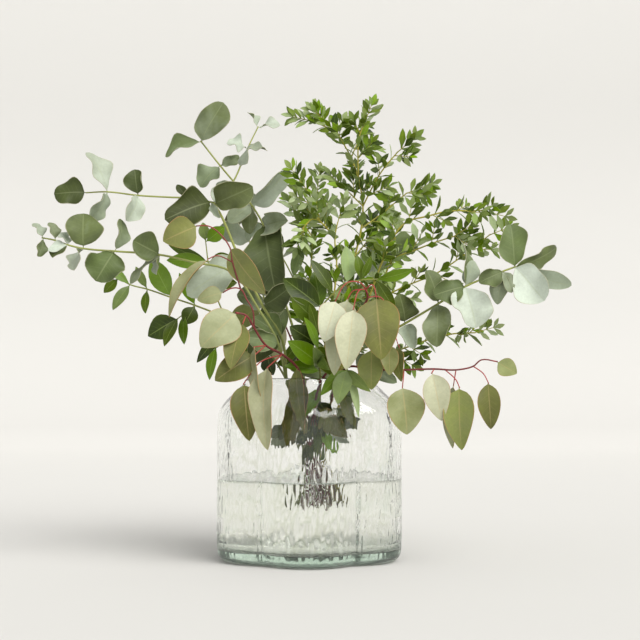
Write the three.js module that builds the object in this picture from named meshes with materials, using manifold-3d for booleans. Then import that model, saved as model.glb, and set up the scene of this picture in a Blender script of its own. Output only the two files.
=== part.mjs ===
// Fresh eucalyptus branches standing in water in a lobed glass vase.
// Millimetres, +Z up. The origin is the middle of the vase's underside, and the front is towards -Y.
import * as THREE from "three";
import { mergeVertices } from "three/addons/utils/BufferGeometryUtils.js";
import Module from "manifold-3d";

const wasm = await Module();
wasm.setup();

// Vase: a ring of six round lobes, drawn in at the shoulder to a round mouth
const LOBES = 6;
const LOBE_CENTRE = 52.6; // from the vase's axis to a lobe's own centre
const LOBE_RADIUS = 53.4;
const BODY_RADIUS = 100; // the radius that the profile's wall stands at
const VASE_SIDES = 48;
const WALL_LOW = 12; // the upright wall runs between these heights
const WALL_HIGH = 152;
const WALL_ROW = 35;
const MOUTH_HEIGHT = 188; // where the lobes have faded into the round mouth
const RIPPLE = 0.7; // height of the hammered relief over the mean wall
const RIPPLES_ROUND = 24;
const FOOT_PROFILE = [[0, 0], [89, 0], [98, 5]];
const SHOULDER_PROFILE = [[98, 162], [73, MOUTH_HEIGHT], [70, 194.5]];
const INSIDE_PROFILE = [[67, 194.5], [93.5, 160], [96, 148], [96, 20], [88, 12], [0, 12]];

// Water: it stands clear of the glass by WATER_GAP and fills the vase up to WATER_HEIGHT
const WATER_GAP = 0.5;
const WATER_HEIGHT = 87;
const WATER_PROFILE = [[0, 12.4], [88 - WATER_GAP, 12.4], [96 - WATER_GAP, 20.4], [96 - WATER_GAP, WATER_HEIGHT],
  [0, WATER_HEIGHT]];

// The bunch: stems stand close together at the waist and fan out evenly up to the mouth
const FOOT_SPREAD = 1.5;
const FOOT_HEIGHT = 56;
const FOOT_STEP = 4; // every other foot is cut this much longer
const WAIST_HEIGHT = 94;
const WAIST_SPREAD = 1.2;
const MOUTH_SPREAD = 4.6;
const BUNCH_CENTRE = [3, 0];
const STEM_HEIGHT = 190;

// Places on the branches are read from the front: across, up, and how far behind the vase's axis.
// A place behind the axis moves out along the line of sight from the eye, and one in front moves in.
const EYE = { across: 11.5, up: 187.5, distance: 1430 };

// Leaves: [how far up the widest part is, how blunt the ends are], and the bow along the length
const LEAF = {
  silver: { outline: [0.92, 0.55], bow: 0.07 },
  red: { outline: [0.7, 0.72], bow: 0.06 },
  green: { outline: [0.9, 0.8], bow: 0.08 },
  small: { outline: [0.9, 0.9], bow: 0.05 },
};
const BLADE = 0.7; // thickness
const NECK = { length: 3, half: 0.5 }; // a leaf's narrow foot, up to where its blade widens
const ROWS = [0.15, 0.45, 0.79]; // where a large leaf's edge has its corners, from root to tip
const SMALL_ROWS = [0.28, 0.69];
const SMALL_WIDTH = 29;
const STALK_THICK = [0.75, 0.65];
const STEM_SIDES = 3;
const SINK = 1.6; // how far what grows on from a twig's end starts inside it
const CLEAR = 0.3; // the least gap between one branch and anything else

// Ways to turn a leaf that would touch another branch: [degrees about its rib, tip moved back]
const DODGES = [[0, 0], [0, -8], [0, 8], [18, -4], [-18, 4], [0, -16], [0, 16], [30, -10], [-30, 10],
  [0, -26], [0, 26], [55, 0], [-55, 0]];
// Shoots dodge by turning about the twig and standing up closer to it, in degrees
const SHOOT_DODGES = [[0, 0], [25, 0], [-25, 0], [50, 10], [-50, 10], [80, 15], [-80, 15], [120, 20], [180, 10]];
const ROLLS = [20, -20, 50, -50, 80, -80, 110]; // ways to roll a shoot at the end of a twig

// Shoots of the small-leaved branches: leaflets in pairs on a rib, and one at its end
const SHOOT = { every: 90, rib: 0.45, pairs: 2, first: 6, step: 9, leaf: 14, width: 7, spread: 50, bow: 0.05,
  lean: 46, turn: 137.5 };

const leaf = (at, tip, width, turn = 0, fold = 0, stalk = []) => ({ at, tip, width, turn, fold, stalk });
const twig = (on, at, thick, through, leaves = [], shootsFrom = 0.5) =>
  ({ on, at, thick, through, leaves, shootsFrom });
const stem = (thick, through, leaves = [], shootsFrom = 1) =>
  ({ on: -1, at: 0, thick, through, leaves, shootsFrom });

// Each branch: its leaf kind, where it stands in the bunch, and its stem and twigs in growing order.
// A twig springs from the twig numbered `on`, at its point `at`; point 0 is the twig's own start,
// and on a stem it is the mouth. A leaf springs from point `at` and ends at its tip.
const BRANCHES = {
  silver_left_upper: { kind: "silver", stand: [-6, -2], twigs: [
    stem([1.8, 1.3], [[-30, 237, -18], [-52, 275, -24], [-76, 323, -30], [-97, 373, -28], [-106, 389, -25]], [
      leaf(-0.55, [-34, 118, -14], 20, 40), leaf(1, [-62, 262, -22], 28, 20), leaf(2, [-20, 296, -34], 30, 25),
      leaf(3, [-135, 286, -40], 40, 12), leaf(5, [-63, 407, -45], 38, 10), leaf(5, [-104, 407, -22], 14, 20),
      leaf(1.2, [-66, 213, -28], 32, 10),
    ]),
    twig(0, 5, [1.2, 0.8],
      [[-135, 394, -30], [-155, 395, -34], [-190, 397, -38], [-224, 401, -42], [-248, 400, -45]], [
      leaf(0.1, [-160, 370, -52], 42, 8), leaf(3, [-194, 426, -40], 24),
      leaf(3, [-203, 369, -62], 24, -50), leaf(4, [-248, 445, -50], 28, 58), leaf(4, [-244, 369, -52], 26, -62),
      leaf(5, [-283, 399, -48], 31, 8),
    ]),
    twig(0, 5, [1.1, 0.7], [[-85, 412, -18], [-75, 434, -12], [-69, 449, -8], [-57, 474, -2]], [
      leaf(3, [-92, 455, -14], 22, 60), leaf(3, [-69, 433, -30], 24, 50), leaf(3, [-47, 447, 0], 22, -60),
      leaf(4, [-69, 490, 0], 18, 72), leaf(4, [-33, 475, -8], 20, -60),
    ]),
  ] },
  silver_left_low: { kind: "silver", stand: [-6, -6], twigs: [
    stem([1.6, 0.8], [[-34, 232, -40], [-57, 272, -48], [-86, 312, -55], [-129, 323, -58], [-165, 331, -61],
      [-215, 335, -63], [-250, 338, -63], [-267, 342, -63], [-281, 347, -62], [-296, 350, -60]], [
      leaf(-0.5, [-46, 132, -44], 20, 20), leaf(1, [-70, 240, -60], 26, 30),
      leaf(5, [-195, 347, -70], 32), leaf(5, [-169, 309, -60], 22, 50), leaf(6, [-236, 302, -74], 42),
      leaf(6, [-209, 371, -58], 24, 66), leaf(7, [-250, 377, -58], 40),
      leaf(7, [-260, 314, -76], 32, 64), leaf(8, [-274, 356, -60], 16, 60), leaf(8, [-284, 328, -72], 22, 52),
      leaf(9, [-288, 367, -58], 16, 60), leaf(10, [-306, 366, -58], 15, 60),
      leaf(10, [-300, 329, -64], 15, -55),
    ]),
  ] },
  silver_left_high: { kind: "silver", stand: [-2, 2], twigs: [
    stem([1.7, 0.9], [[-16, 242, 18], [-29, 285, 25], [-41, 330, 32], [-51, 364, 38], [-64, 386, 40],
      [-79, 406, 42], [-99, 430, 44], [-121, 458, 46]], [
      leaf(2, [-62, 300, 30], 30, 20), leaf(2, [4, 300, 40], 28, -30),
      leaf(4, [-37, 288, 10], 52, 0, 10), leaf(4, [-24, 369, 16], 38, 10, 35), leaf(4, [-71, 350, 52], 24, 30),
      leaf(5, [-26, 424, 30], 32, 30, 20), leaf(5, [-89, 366, 28], 22, 10),
      leaf(7, [-121, 406, 38], 28, 30), leaf(7, [-78, 441, 46], 15, 20), leaf(8, [-96, 501, 40], 38, -10),
      leaf(8, [-160, 440, 52], 26, 50, 20), leaf(1.7, [-59, 235, 6], 38, 5),
    ]),
  ] },
  silver_right: { kind: "silver", stand: [6, -2], twigs: [
    stem([1.8, 0.9], [[50, 220, -20], [77, 239, -32], [105, 255, -42], [142, 277, -50], [172, 296, -54],
      [214, 313, -56], [228, 318, -56]], [
      leaf(-0.4, [56, 150, -14], 18, 30), leaf(1, [96, 190, -48], 22, 10), leaf(2, [70, 275, -40], 26, 30),
      leaf(3, [99, 288, -52], 28, 20), leaf(3, [116, 228, -60], 22, 20), leaf(4, [129, 314, -52], 28, 20),
      leaf(4, [140, 229, -64], 30, 10), leaf(5, [181, 325, -52], 17), leaf(5, [166, 349, -48], 22, 62),
      leaf(5, [183, 250, -68], 46, 0, 15), leaf(5, [137, 286, -66], 28, 10), leaf(6, [187, 300, -64], 20),
      leaf(6, [207, 276, -60], 19, 20), leaf(7, [222, 365, -50], 34),
      leaf(7, [259, 280, -64], 46, 0, 22), leaf(7, [273, 339, -24], 18, 25), leaf(7, [289, 297, -36], 22, 25),
      leaf(0.2, [-22, 206, -32], 26, 45),
    ]),
  ] },
  silver_back_left: { kind: "silver", stand: [-6, 6], pairs: { length: 38, width: 34, from: 1 }, twigs: [
    stem([1.6, 0.8], [[-38, 240, 62], [-48, 275, 100], [-58, 312, 135], [-66, 345, 165], [-72, 372, 190]]),
  ] },
  silver_back_right: { kind: "silver", stand: [2, 10], pairs: { length: 36, width: 33, from: 1 }, twigs: [
    stem([1.6, 0.8], [[26, 240, 82], [48, 275, 116], [68, 305, 150], [85, 335, 180]]),
  ] },
  red_left: { kind: "red", stand: [-2, -10], twigs: [
    stem([1.6, 1.1], [[-14, 207, -52], [-30, 221, -62], [-48, 231, -72], [-61, 250, -82], [-70, 264, -88],
      [-82, 267, -92]], [
      leaf(0, [-24, 118, -62], 22, 10), leaf(1, [-4, 134, -74], 18, 30),
      leaf(2, [-66, 126, -106], 31, 0, 0, [[-55, 212, -84], [-73, 188, -98]]),
      leaf(2, [-46, 116, -116], 34, 35, 20, [[-47, 206, -96]]),
      leaf(3, [-104, 192, -98], 32, 10, 0, [[-62, 219, -84]]), leaf(3, [-50, 163, -104], 20, 60, 0, [[-62, 229, -88]]),
      leaf(5, [-87, 205, -104], 28, 20, 0, [[-74, 254, -94]]), leaf(6, [-120, 229, -102], 42),
    ]),
    twig(0, 4, [1, 0.7], [[-63, 271, -84], [-69, 281, -84], [-76, 293, -83], [-86, 294, -82], [-96, 289, -81]], [
      leaf(5, [-124, 281, -84], 19),
    ]),
    twig(1, 3, [0.9, 0.65], [[-85, 323, -78], [-88, 339, -74], [-102, 357, -72], [-112, 363, -72], [-126, 363, -72]], [
      leaf(2, [-49, 288, -86], 30, 30), leaf(5, [-162, 346, -76], 36),
    ]),
    twig(2, 1, [0.75, 0.6], [[-102, 330, -82], [-113, 326, -86]], [leaf(2, [-155, 262, -92], 26, 55, 20)]),
  ] },
  red_centre: { kind: "red", stand: [2, -10], twigs: [
    stem([1.6, 1.1], [[39, 224, -62], [54, 256, -80], [59, 273, -92], [64, 284, -98], [62, 293, -102]], [
      leaf(2, [68, 182, -98], 28, 10, 0, [[66, 240, -88], [69, 226, -94]]),
      leaf(3, [101, 191, -96], 18, 40, 0, [[84, 262, -90], [99, 228, -96]]),
      leaf(4, [88, 198, -106], 20, 10, 0, [[78, 284, -96], [87, 268, -98], [88, 232, -104]]),
      leaf(5, [16, 235, -126], 32, 0, 0, [[56, 300, -106], [41, 300, -112], [28, 279, -118]]),
      leaf(5, [27, 198, -112], 32, 10, 15, [[48, 291, -100], [41, 281, -102]]),
      leaf(5, [40, 204, -136], 32, 0, 0, [[54, 291, -114], [48, 270, -126]]),
      leaf(5, [79, 215, -124], 46, 0, 8, [[69, 298, -108], [74, 283, -114]]), leaf(-0.3, [42, 130, -44], 22, 20),
    ]),
  ] },
  red_right: { kind: "red", stand: [6, -6], twigs: [
    stem([1.5, 0.7], [[42, 207, -50], [61, 206, -72], [84, 204, -92], [104, 204, -98], [137, 205, -102],
      [161, 204, -104], [180, 208, -104], [189, 215, -104], [207, 213, -104]], [
      leaf(0.4, [48, 141, -42], 17, 30), leaf(4, [107, 133, -106], 40, 0, 8, [[102, 184, -104]]),
      leaf(5, [145, 148, -110], 28, 0, 0, [[134, 200, -106]]),
      leaf(5.5, [167, 116, -108], 32, 15, 10, [[161, 193, -106], [165, 184, -106]]),
      leaf(6, [157, 118, -98], 20, 50, 0, [[158, 186, -98]]),
      leaf(7, [199, 139, -108], 24, 5, 0, [[191, 200, -106], [197, 189, -108]]), leaf(9, [228, 200, -106], 19.5),
    ]),
  ] },
  red_back: { kind: "red", stand: [-2, 10], twigs: [
    stem([1.5, 0.9], [[-14, 218, 74], [-22, 242, 102], [-32, 262, 126], [-44, 272, 150]], [
      leaf(2, [6, 204, 134], 34, 160, 0, [[-14, 240, 120]]), leaf(3, [-66, 214, 148], 38, 150, 8, [[-44, 254, 140]]),
      leaf(4, [-36, 214, 178], 36, 170, 0, [[-44, 262, 166]]), leaf(4, [-88, 246, 168], 34, 150, 0, [[-58, 274, 158]]),
    ]),
  ] },
  green_left: { kind: "green", stand: [-6, 2], twigs: [
    stem([1.4, 0.7], [[-52, 231, 12], [-93, 261, 14], [-126, 275, 12], [-153, 284, 10], [-179, 293, 8],
      [-198, 298, 6], [-212, 306, 4]], [
      leaf(1, [-86, 214, 6], 20, 20), leaf(1, [-60, 262, 6], 20, 30), leaf(3, [-138, 254, 4], 20),
      leaf(4, [-175, 327, 8], 24), leaf(6, [-217, 270, -4], 14, 10), leaf(7, [-227, 289, 2], 12),
      leaf(2, [-107, 226, 18], 22, 10), leaf(0.8, [-40, 198, 14], 20, 30), leaf(0.5, [-12, 222, 30], 18, 40),
    ]),
    twig(0, 3, [0.8, 0.6], [[-146, 260, 2]], [
      leaf(1, [-178, 241, -4], 28), leaf(1, [-160, 230, -10], 14, 20),
    ]),
    twig(0, 2, [0.9, 0.6], [[-108, 300, 18], [-112, 323, 18], [-115, 347, 18]], [
      leaf(1, [-80, 300, 14], 16), leaf(2, [-158, 325, 12], 18), leaf(2, [-88, 330, 24], 16, 20),
      leaf(3, [-118, 367, 16], 13), leaf(3, [-94, 362, 14], 18, 10),
    ]),
    twig(0, 2, [0.7, 0.6], [[-103, 228, 6]], [leaf(1, [-110, 193, 2], 13, 25)]),
  ] },
  green_centre: { kind: "green", stand: [2, -6], twigs: [
    stem([1.4, 0.7], [[9, 231, -40], [13, 272, -50], [26, 288, -54], [41, 299, -56], [57, 303, -58],
      [75, 304, -60]], [
      leaf(-0.4, [12, 124, -46], 20, 20), leaf(1, [-22, 252, -52], 24, 10), leaf(1, [30, 196, -66], 20, 20),
      leaf(2, [5, 313, -44], 20), leaf(2, [-29, 305, -50], 26, 10), leaf(3, [1, 326, -56], 15, 20),
      leaf(4, [40, 341, -50], 22, 35), leaf(5, [52, 331, -60], 11, 10), leaf(6, [95, 269, -66], 14, 10),
      leaf(6, [115, 315, -58], 13, 25), leaf(1.6, [-20, 284, -58], 22, -15), leaf(1.2, [0, 276, -64], 14, 20),
      leaf(0.5, [-24, 236, -60], 22, 10), leaf(0.4, [4, 229, -76], 15, 20), leaf(-0.2, [24, 146, -22], 26, 40),
    ]),
    twig(0, 0.6, [0.9, 0.7], [[28, 212, -62], [42, 204, -80]], [
      leaf(2, [31, 166, -108], 20, 10), leaf(2, [67, 180, -104], 12, 20),
    ]),
  ] },
  green_back: { kind: "green", stand: [2, 6], pairs: { length: 40, width: 16, from: 1 }, twigs: [
    stem([1.4, 0.7], [[5, 240, 58], [-6, 275, 86], [-18, 305, 112], [-30, 328, 138], [-38, 340, 160]]),
  ] },
  small_main: { kind: "small", stand: [2, 2], twigs: [
    stem([1.7, 0.75], [[20, 231, 16], [39, 281, 24], [50, 329, 30], [57, 360, 32], [59, 385, 34], [54, 416, 36],
      [46, 439, 38], [30, 468, 41], [-5, 502, 44]], [], 2),
    twig(0, 6, [0.9, 0.75], [[55, 462, 28], [60, 476, 24], [74, 511, 16]]),
    twig(0, 8, [0.9, 0.75], [[4, 480, 48], [-32, 488, 54]]),
    twig(0, 5, [0.9, 0.75], [[71, 409, 26], [80, 424, 20], [98, 446, 14], [127, 471, 6]]),
    twig(0, 4, [0.9, 0.75], [[80, 377, 42], [108, 400, 46], [147, 415, 50]]),
    twig(0, 5, [0.9, 0.75], [[40, 404, 42], [12, 430, 54]]),
    twig(0, 7, [0.9, 0.75], [[54, 458, 58], [66, 482, 90]]),
    twig(0, 3, [0.9, 0.75], [[68, 352, 60], [80, 372, 82], [92, 400, 112]]),
  ] },
  small_left: { kind: "small", stand: [2, -2], twigs: [
    stem([1.4, 0.75], [[17, 231, -6], [26, 281, 0], [30, 318, 4], [28, 351, 6], [31, 367, 5], [42, 404, 0]], [], 1.6),
    twig(0, 4, [0.9, 0.75], [[6, 377, 0], [0, 400, -4], [-28, 437, -12]]),
    twig(1, 0.4, [0.9, 0.75], [[4, 371, -14], [-8, 360, -20], [-18, 326, -28]]),
  ] },
  small_right_arch: { kind: "small", stand: [6, 2], twigs: [
    stem([1.5, 0.75], [[45, 240, 12], [66, 285, 14], [81, 325, 14], [105, 366, 12], [131, 374, 8], [151, 379, 4],
      [176, 380, 0], [194, 380, -2], [230, 370, -8]], [], 1.6),
  ] },
  small_right_middle: { kind: "small", stand: [6, 6], twigs: [
    stem([1.5, 0.75], [[52, 240, 34], [76, 282, 40], [92, 325, 40], [116, 336, 34], [142, 346, 28], [161, 352, 24],
      [189, 370, 16]], [], 1.6),
    twig(0, 2, [1, 0.75], [[105, 296, 36], [139, 310, 30], [161, 324, 26], [180, 338, 22], [200, 354, 17],
      [232, 366, 10]]),
    twig(1, 4, [0.9, 0.75], [[212, 336, 32]]),
  ] },
  small_right_low: { kind: "small", stand: [9.5, 1], twigs: [
    stem([1.3, 0.75], [[70, 213, 12], [110, 230, 4], [153, 243, -6], [183, 245, -12], [215, 254, -18]], [], 1.5),
  ] },
  small_back_left: { kind: "small", stand: [-2, 6], twigs: [
    stem([1.5, 0.75], [[-6, 250, 52], [0, 300, 74], [4, 350, 92], [8, 395, 104], [12, 435, 112]], [], 1.6),
    twig(0, 3, [0.9, 0.75], [[-12, 372, 108], [-28, 400, 134]]),
  ] },
  small_back_right: { kind: "small", stand: [6, 10], twigs: [
    stem([1.5, 0.75], [[40, 250, 78], [58, 300, 108], [72, 345, 134], [82, 382, 156]], [], 1.6),
    twig(0, 2, [0.9, 0.75], [[84, 318, 120], [110, 342, 144]]),
  ] },
};

// Minimal standard generator, so that the draws are the same in every run
function draws(seed) {
  let state = seed * 7919 + 1;
  const next = () => (state = (state * 48271) % 2147483647) / 2147483647;
  next();
  next();
  return next;
}

const radians = THREE.MathUtils.degToRad;
const vector = (x, y, z) => new THREE.Vector3(x, y, z);
const VIEWER = vector(0, -1, 0);

function solidOf(geometry) {
  const bare = geometry.clone();
  bare.deleteAttribute("normal");
  bare.deleteAttribute("uv");
  const merged = mergeVertices(bare, 1e-4);
  return new wasm.Manifold(new wasm.Mesh({
    numProp: 3,
    vertProperties: merged.attributes.position.array,
    triVerts: new Uint32Array(merged.index.array),
  }));
}

function geometryOf(solid) {
  const made = solid.getMesh();
  const geometry = new THREE.BufferGeometry();
  geometry.setAttribute("position", new THREE.BufferAttribute(new Float32Array(made.vertProperties), 3));
  geometry.setIndex(new THREE.BufferAttribute(new Uint32Array(made.triVerts), 1));
  geometry.computeVertexNormals();
  return geometry;
}

// Vase and water

// The factor by which the lobes widen or narrow a ring at this height
function lobe(angle, height) {
  const span = (2 * Math.PI) / LOBES;
  const off = angle - span * Math.round(angle / span);
  const reach = LOBE_CENTRE * Math.cos(off) + Math.sqrt(LOBE_RADIUS ** 2 - (LOBE_CENTRE * Math.sin(off)) ** 2);
  const share = 1 - THREE.MathUtils.smoothstep(height, WALL_HIGH, MOUTH_HEIGHT);
  return 1 + share * (reach / BODY_RADIUS - 1);
}

function ripple(angle, height) {
  return RIPPLE * Math.cos(RIPPLES_ROUND * angle) * Math.cos((Math.PI * (height - WALL_LOW)) / WALL_ROW);
}

function lobedLathe(profile, isOutside) {
  const geometry = new THREE.LatheGeometry(profile.map(([r, z]) => new THREE.Vector2(r, z)), VASE_SIDES);
  geometry.rotateX(Math.PI / 2);
  const place = geometry.attributes.position;
  for (let i = 0; i < place.count; i++) {
    const [x, y, z] = [place.getX(i), place.getY(i), place.getZ(i)];
    const angle = Math.atan2(x, -y);
    const radius = Math.hypot(x, y);
    const relief = isOutside(radius, z) ? ripple(angle, z) : 0;
    const factor = radius > 0 ? lobe(angle, z) * (1 + relief / radius) : 0;
    place.setXYZ(i, x * factor, y * factor, z);
  }
  return solidOf(geometry);
}

function makeVase() {
  const wall = [];
  for (let z = WALL_LOW; z <= WALL_HIGH; z += WALL_ROW) wall.push([BODY_RADIUS, z]);
  const onWall = (radius, z) => radius > BODY_RADIUS - 1 && z >= WALL_LOW && z <= WALL_HIGH;
  return lobedLathe([...FOOT_PROFILE, ...wall, ...SHOULDER_PROFILE, ...INSIDE_PROFILE], onWall);
}

function makeWater(stems) {
  return stems.reduce((water, hole) => water.subtract(hole), lobedLathe(WATER_PROFILE, () => false));
}

// Branches

function place([across, up, behind]) {
  const spread = 1 + behind / EYE.distance;
  return vector(EYE.across + (across - EYE.across) * spread, behind, EYE.up + (up - EYE.up) * spread);
}

function alongPath(path, at) {
  const i = Math.min(Math.max(Math.floor(at), 0), path.length - 2);
  return path[i].clone().lerp(path[i + 1], at - i);
}

// Where something grows from: what grows on from the end starts sunk inside it
function rootAt(path, at) {
  const last = path.length - 1;
  return at < last ? alongPath(path, at) : alongPath(path, last - SINK / path[last].distanceTo(path[last - 1]));
}

// A stick of straight stretches, thinner towards its end. Its flat sides hold the round stem's area.
function stick(path, [thickStart, thickEnd], extra = 0) {
  const corner = Math.sqrt((2 * Math.PI) / (STEM_SIDES * Math.sin((2 * Math.PI) / STEM_SIDES)));
  const levels = path.length - 1;
  const geometry = new THREE.CylinderGeometry(1, 1, levels, STEM_SIDES, levels);
  const spots = geometry.attributes.position;
  const across = [];
  const other = [];
  let side = vector(0.31, 0.95, 0.05);
  path.forEach((_, i) => {
    const before = path[Math.max(i - 1, 0)];
    const after = path[Math.min(i + 1, levels)];
    const forward = after.clone().sub(before).normalize();
    side = side.clone().addScaledVector(forward, -side.dot(forward)).normalize();
    across.push(side);
    other.push(side.clone().cross(forward));
  });
  for (let i = 0; i < spots.count; i++) {
    const level = Math.round(spots.getY(i) + levels / 2);
    const thick = corner * (thickStart + ((thickEnd - thickStart) * level) / levels + extra);
    const spot = path[level].clone().addScaledVector(across[level], spots.getX(i) * thick)
      .addScaledVector(other[level], spots.getZ(i) * thick);
    spots.setXYZ(i, spot.x, spot.y, spot.z);
  }
  return solidOf(geometry);
}

// A leaf blade from root to tip, folded along its rib and bowed along its length
function blade({ root, tip, facing, width, fold, kind, extra = 0 }) {
  const { outline: [widest, blunt], bow } = LEAF[kind];
  const along = tip.clone().sub(root);
  const length = along.length();
  along.normalize();
  const up = facing.clone().addScaledVector(along, -facing.dot(along)).normalize();
  const side = along.clone().cross(up);
  const bend = radians(fold);
  const lift = (BLADE / 2 + extra) / Math.cos(bend);
  const ribbed = fold > 0;
  const neck = NECK.length / length;
  const rows = [neck, ...(width >= SMALL_WIDTH ? ROWS : SMALL_ROWS)];
  const halfAt = (t) => (t === neck ? NECK.half : (width / 2) * Math.sin(Math.PI * t ** widest) ** blunt);
  const points = [];
  const spot = (t, x, face) => {
    const half = halfAt(t) + (t > 0 && t < 1 ? extra : 0);
    const rise = half * Math.abs(x) * Math.sin(bend) + bow * length * 4 * t * (1 - t) + face * lift;
    const reach = t < 1 ? t * length : length + extra;
    const at = root.clone().addScaledVector(along, reach).addScaledVector(side, half * x * Math.cos(bend))
      .addScaledVector(up, rise);
    points.push(at.x, at.y, at.z);
  };
  const across = ribbed ? [-1, 0, 1] : [-1, 1];
  for (const face of [1, -1]) {
    spot(0, 0, face);
    for (const t of rows) for (const x of across) spot(t, x, face);
    spot(1, 0, face);
  }
  const n = across.length;
  const count = rows.length * n + 2;
  const last = count - 1;
  const triangles = [];
  const top = (a, b, c) => triangles.push(a, b, c, a + count, c + count, b + count);
  for (let j = 0; j < n - 1; j++) {
    top(0, 1 + j + 1, 1 + j);
    top(last, last - n + j, last - n + j + 1);
    for (let i = 0; i < rows.length - 1; i++) {
      const a = 1 + i * n + j;
      top(a, a + 1, a + n + 1);
      top(a, a + n + 1, a + n);
    }
  }
  const left = rows.map((_, i) => 1 + i * n);
  const right = rows.map((_, i) => (i + 1) * n);
  const edge = [0, ...right, last, ...left.reverse()];
  edge.forEach((a, i) => {
    const b = edge[(i + 1) % edge.length];
    triangles.push(b, a, a + count, b, a + count, b + count);
  });
  const geometry = new THREE.BufferGeometry();
  geometry.setAttribute("position", new THREE.Float32BufferAttribute(points, 3));
  geometry.setIndex(triangles);
  return solidOf(geometry);
}

// Everything already grown, so that what comes later keeps clear of it
const grown = [];
const isOff = (a, b) => a.max.some((high, k) => high < b.min[k] || b.max[k] < a.min[k]);

function record(branch, solid) {
  grown.push({ branch, solid, box: solid.boundingBox() });
}

function isClear(branch, solid) {
  const box = solid.boundingBox();
  return grown.every((other) =>
    other.branch === branch || isOff(box, other.box) || solid.intersect(other.solid).isEmpty());
}

function stemPath({ stand: [x, y] }, through, index) {
  const foot = FOOT_HEIGHT + (index % 2) * FOOT_STEP;
  const [cx, cy] = BUNCH_CENTRE;
  return [
    vector(cx + x * FOOT_SPREAD, cy + y * FOOT_SPREAD, foot), vector(cx + x * WAIST_SPREAD, cy + y * WAIST_SPREAD, WAIST_HEIGHT),
    vector(cx + x * MOUTH_SPREAD, cy + y * MOUTH_SPREAD, STEM_HEIGHT), ...through.map(place),
  ];
}

// The facing of a leaf seen square on from the front, turned about its rib
function facingOf(root, tip, turn) {
  const along = tip.clone().sub(root).normalize();
  const square = VIEWER.clone().addScaledVector(along, -VIEWER.dot(along)).normalize();
  return square.applyAxisAngle(along, radians(turn));
}

function growLeaf(name, kind, path, start, row) {
  const root = rootAt(path, start + row.at);
  const stalk = [root, ...row.stalk.map(place)];
  const pieces = row.stalk.length ? [stick(stalk, STALK_THICK)] : [];
  const from = row.stalk.length ? rootAt(stalk, stalk.length - 1) : root;
  for (const [turn, back] of DODGES) {
    const tip = place([row.tip[0], row.tip[1], row.tip[2] + back]);
    const facing = facingOf(from, tip, row.turn + turn);
    const form = { root: from, tip, facing, width: row.width, fold: row.fold, kind };
    if (isClear(name, blade({ ...form, extra: CLEAR }))) return [...pieces, blade(form)];
  }
  return pieces;
}

// A pair of opposite leaves at each point, each pair turned a quarter from the last
function growPairs(name, kind, path, first, { length, width }, seed) {
  const solids = [];
  for (let i = first; i < path.length; i++) {
    const next = draws(seed * 100 + i);
    const forward = path[i].clone().sub(path[i - 1]).normalize();
    const level = vector(0, 0, 1).cross(forward).normalize();
    const quarter = (i % 2) * 90 + 30 * (next() - 0.5);
    for (const half of [0, 180]) {
      const out = level.clone().applyAxisAngle(forward, radians(quarter + half));
      const lean = radians(62 + 20 * (next() - 0.5));
      const size = 0.85 + 0.3 * next();
      for (const [turn, back] of DODGES) {
        const aim = forward.clone().multiplyScalar(Math.cos(lean)).addScaledVector(out, Math.sin(lean));
        aim.applyAxisAngle(forward, radians(back * 2));
        const tip = path[i].clone().addScaledVector(aim, length * size);
        const facing = forward.clone().applyAxisAngle(aim, radians(turn));
        const form = { root: rootAt(path, i), tip, facing, width: width * size, fold: 0, kind };
        if (!isClear(name, blade({ ...form, extra: CLEAR }))) continue;
        solids.push(blade(form));
        break;
      }
    }
  }
  return solids;
}

// The flat outline of a shoot, leaflets cut to the rib, its root at 0, 0 and its end at the top
function shootOutline(pairs) {
  const { rib, first, step, leaf: length, width, spread } = SHOOT;
  const out = new THREE.Vector2(Math.sin(radians(spread)), Math.cos(radians(spread)));
  const over = new THREE.Vector2(-out.y, out.x);
  const right = [new THREE.Vector2(rib, 0)];
  for (let i = 0; i < pairs; i++) {
    const base = new THREE.Vector2(rib, first + step * i);
    const belly = base.clone().addScaledVector(out, 0.42 * length);
    right.push(base, belly.clone().addScaledVector(over, -width / 2), base.clone().addScaledVector(out, length),
      belly.clone().addScaledVector(over, width / 2));
  }
  const top = shootLength(pairs);
  right.push(new THREE.Vector2(rib, first + step * pairs), new THREE.Vector2(width / 2, top - 0.55 * length));
  const left = right.map(({ x, y }) => new THREE.Vector2(-x, y)).reverse();
  return new THREE.Shape([...right, new THREE.Vector2(0, top), ...left]);
}

function shootLength(pairs) {
  return SHOOT.first + SHOOT.step * pairs + SHOOT.leaf;
}

// A shoot from root to tip, arched towards the side it faces
function shoot({ root, tip, roll, pairs }, extra = 0) {
  const length = root.distanceTo(tip);
  const aim = tip.clone().sub(root).normalize();
  const facing = facingOf(root, tip, roll);
  const side = aim.clone().cross(facing);
  const size = length / shootLength(pairs);
  const geometry = new THREE.ExtrudeGeometry(shootOutline(pairs), { depth: BLADE + 2 * extra, bevelEnabled: false });
  const spots = geometry.attributes.position;
  for (let i = 0; i < spots.count; i++) {
    const y = spots.getY(i) * size;
    const x = spots.getX(i) * (size + extra / 5);
    const z = spots.getZ(i) - BLADE / 2 - extra + SHOOT.bow * 4 * y * (1 - y / length);
    const spot = root.clone().addScaledVector(side, x).addScaledVector(aim, y).addScaledVector(facing, z);
    spots.setXYZ(i, spot.x, spot.y, spot.z);
  }
  return solidOf(geometry);
}

// Points spaced evenly along a path, from its point `first` on
function evenly(path, first, every) {
  const spots = [];
  if (first >= path.length - 1) return spots;
  let run = (first % 1) * path[Math.floor(first)].distanceTo(path[Math.floor(first) + 1]);
  for (let i = Math.floor(first); i < path.length - 1; i++) {
    const length = path[i].distanceTo(path[i + 1]);
    for (; run < length; run += every) spots.push(i + run / length);
    run -= length;
  }
  return spots;
}

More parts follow.
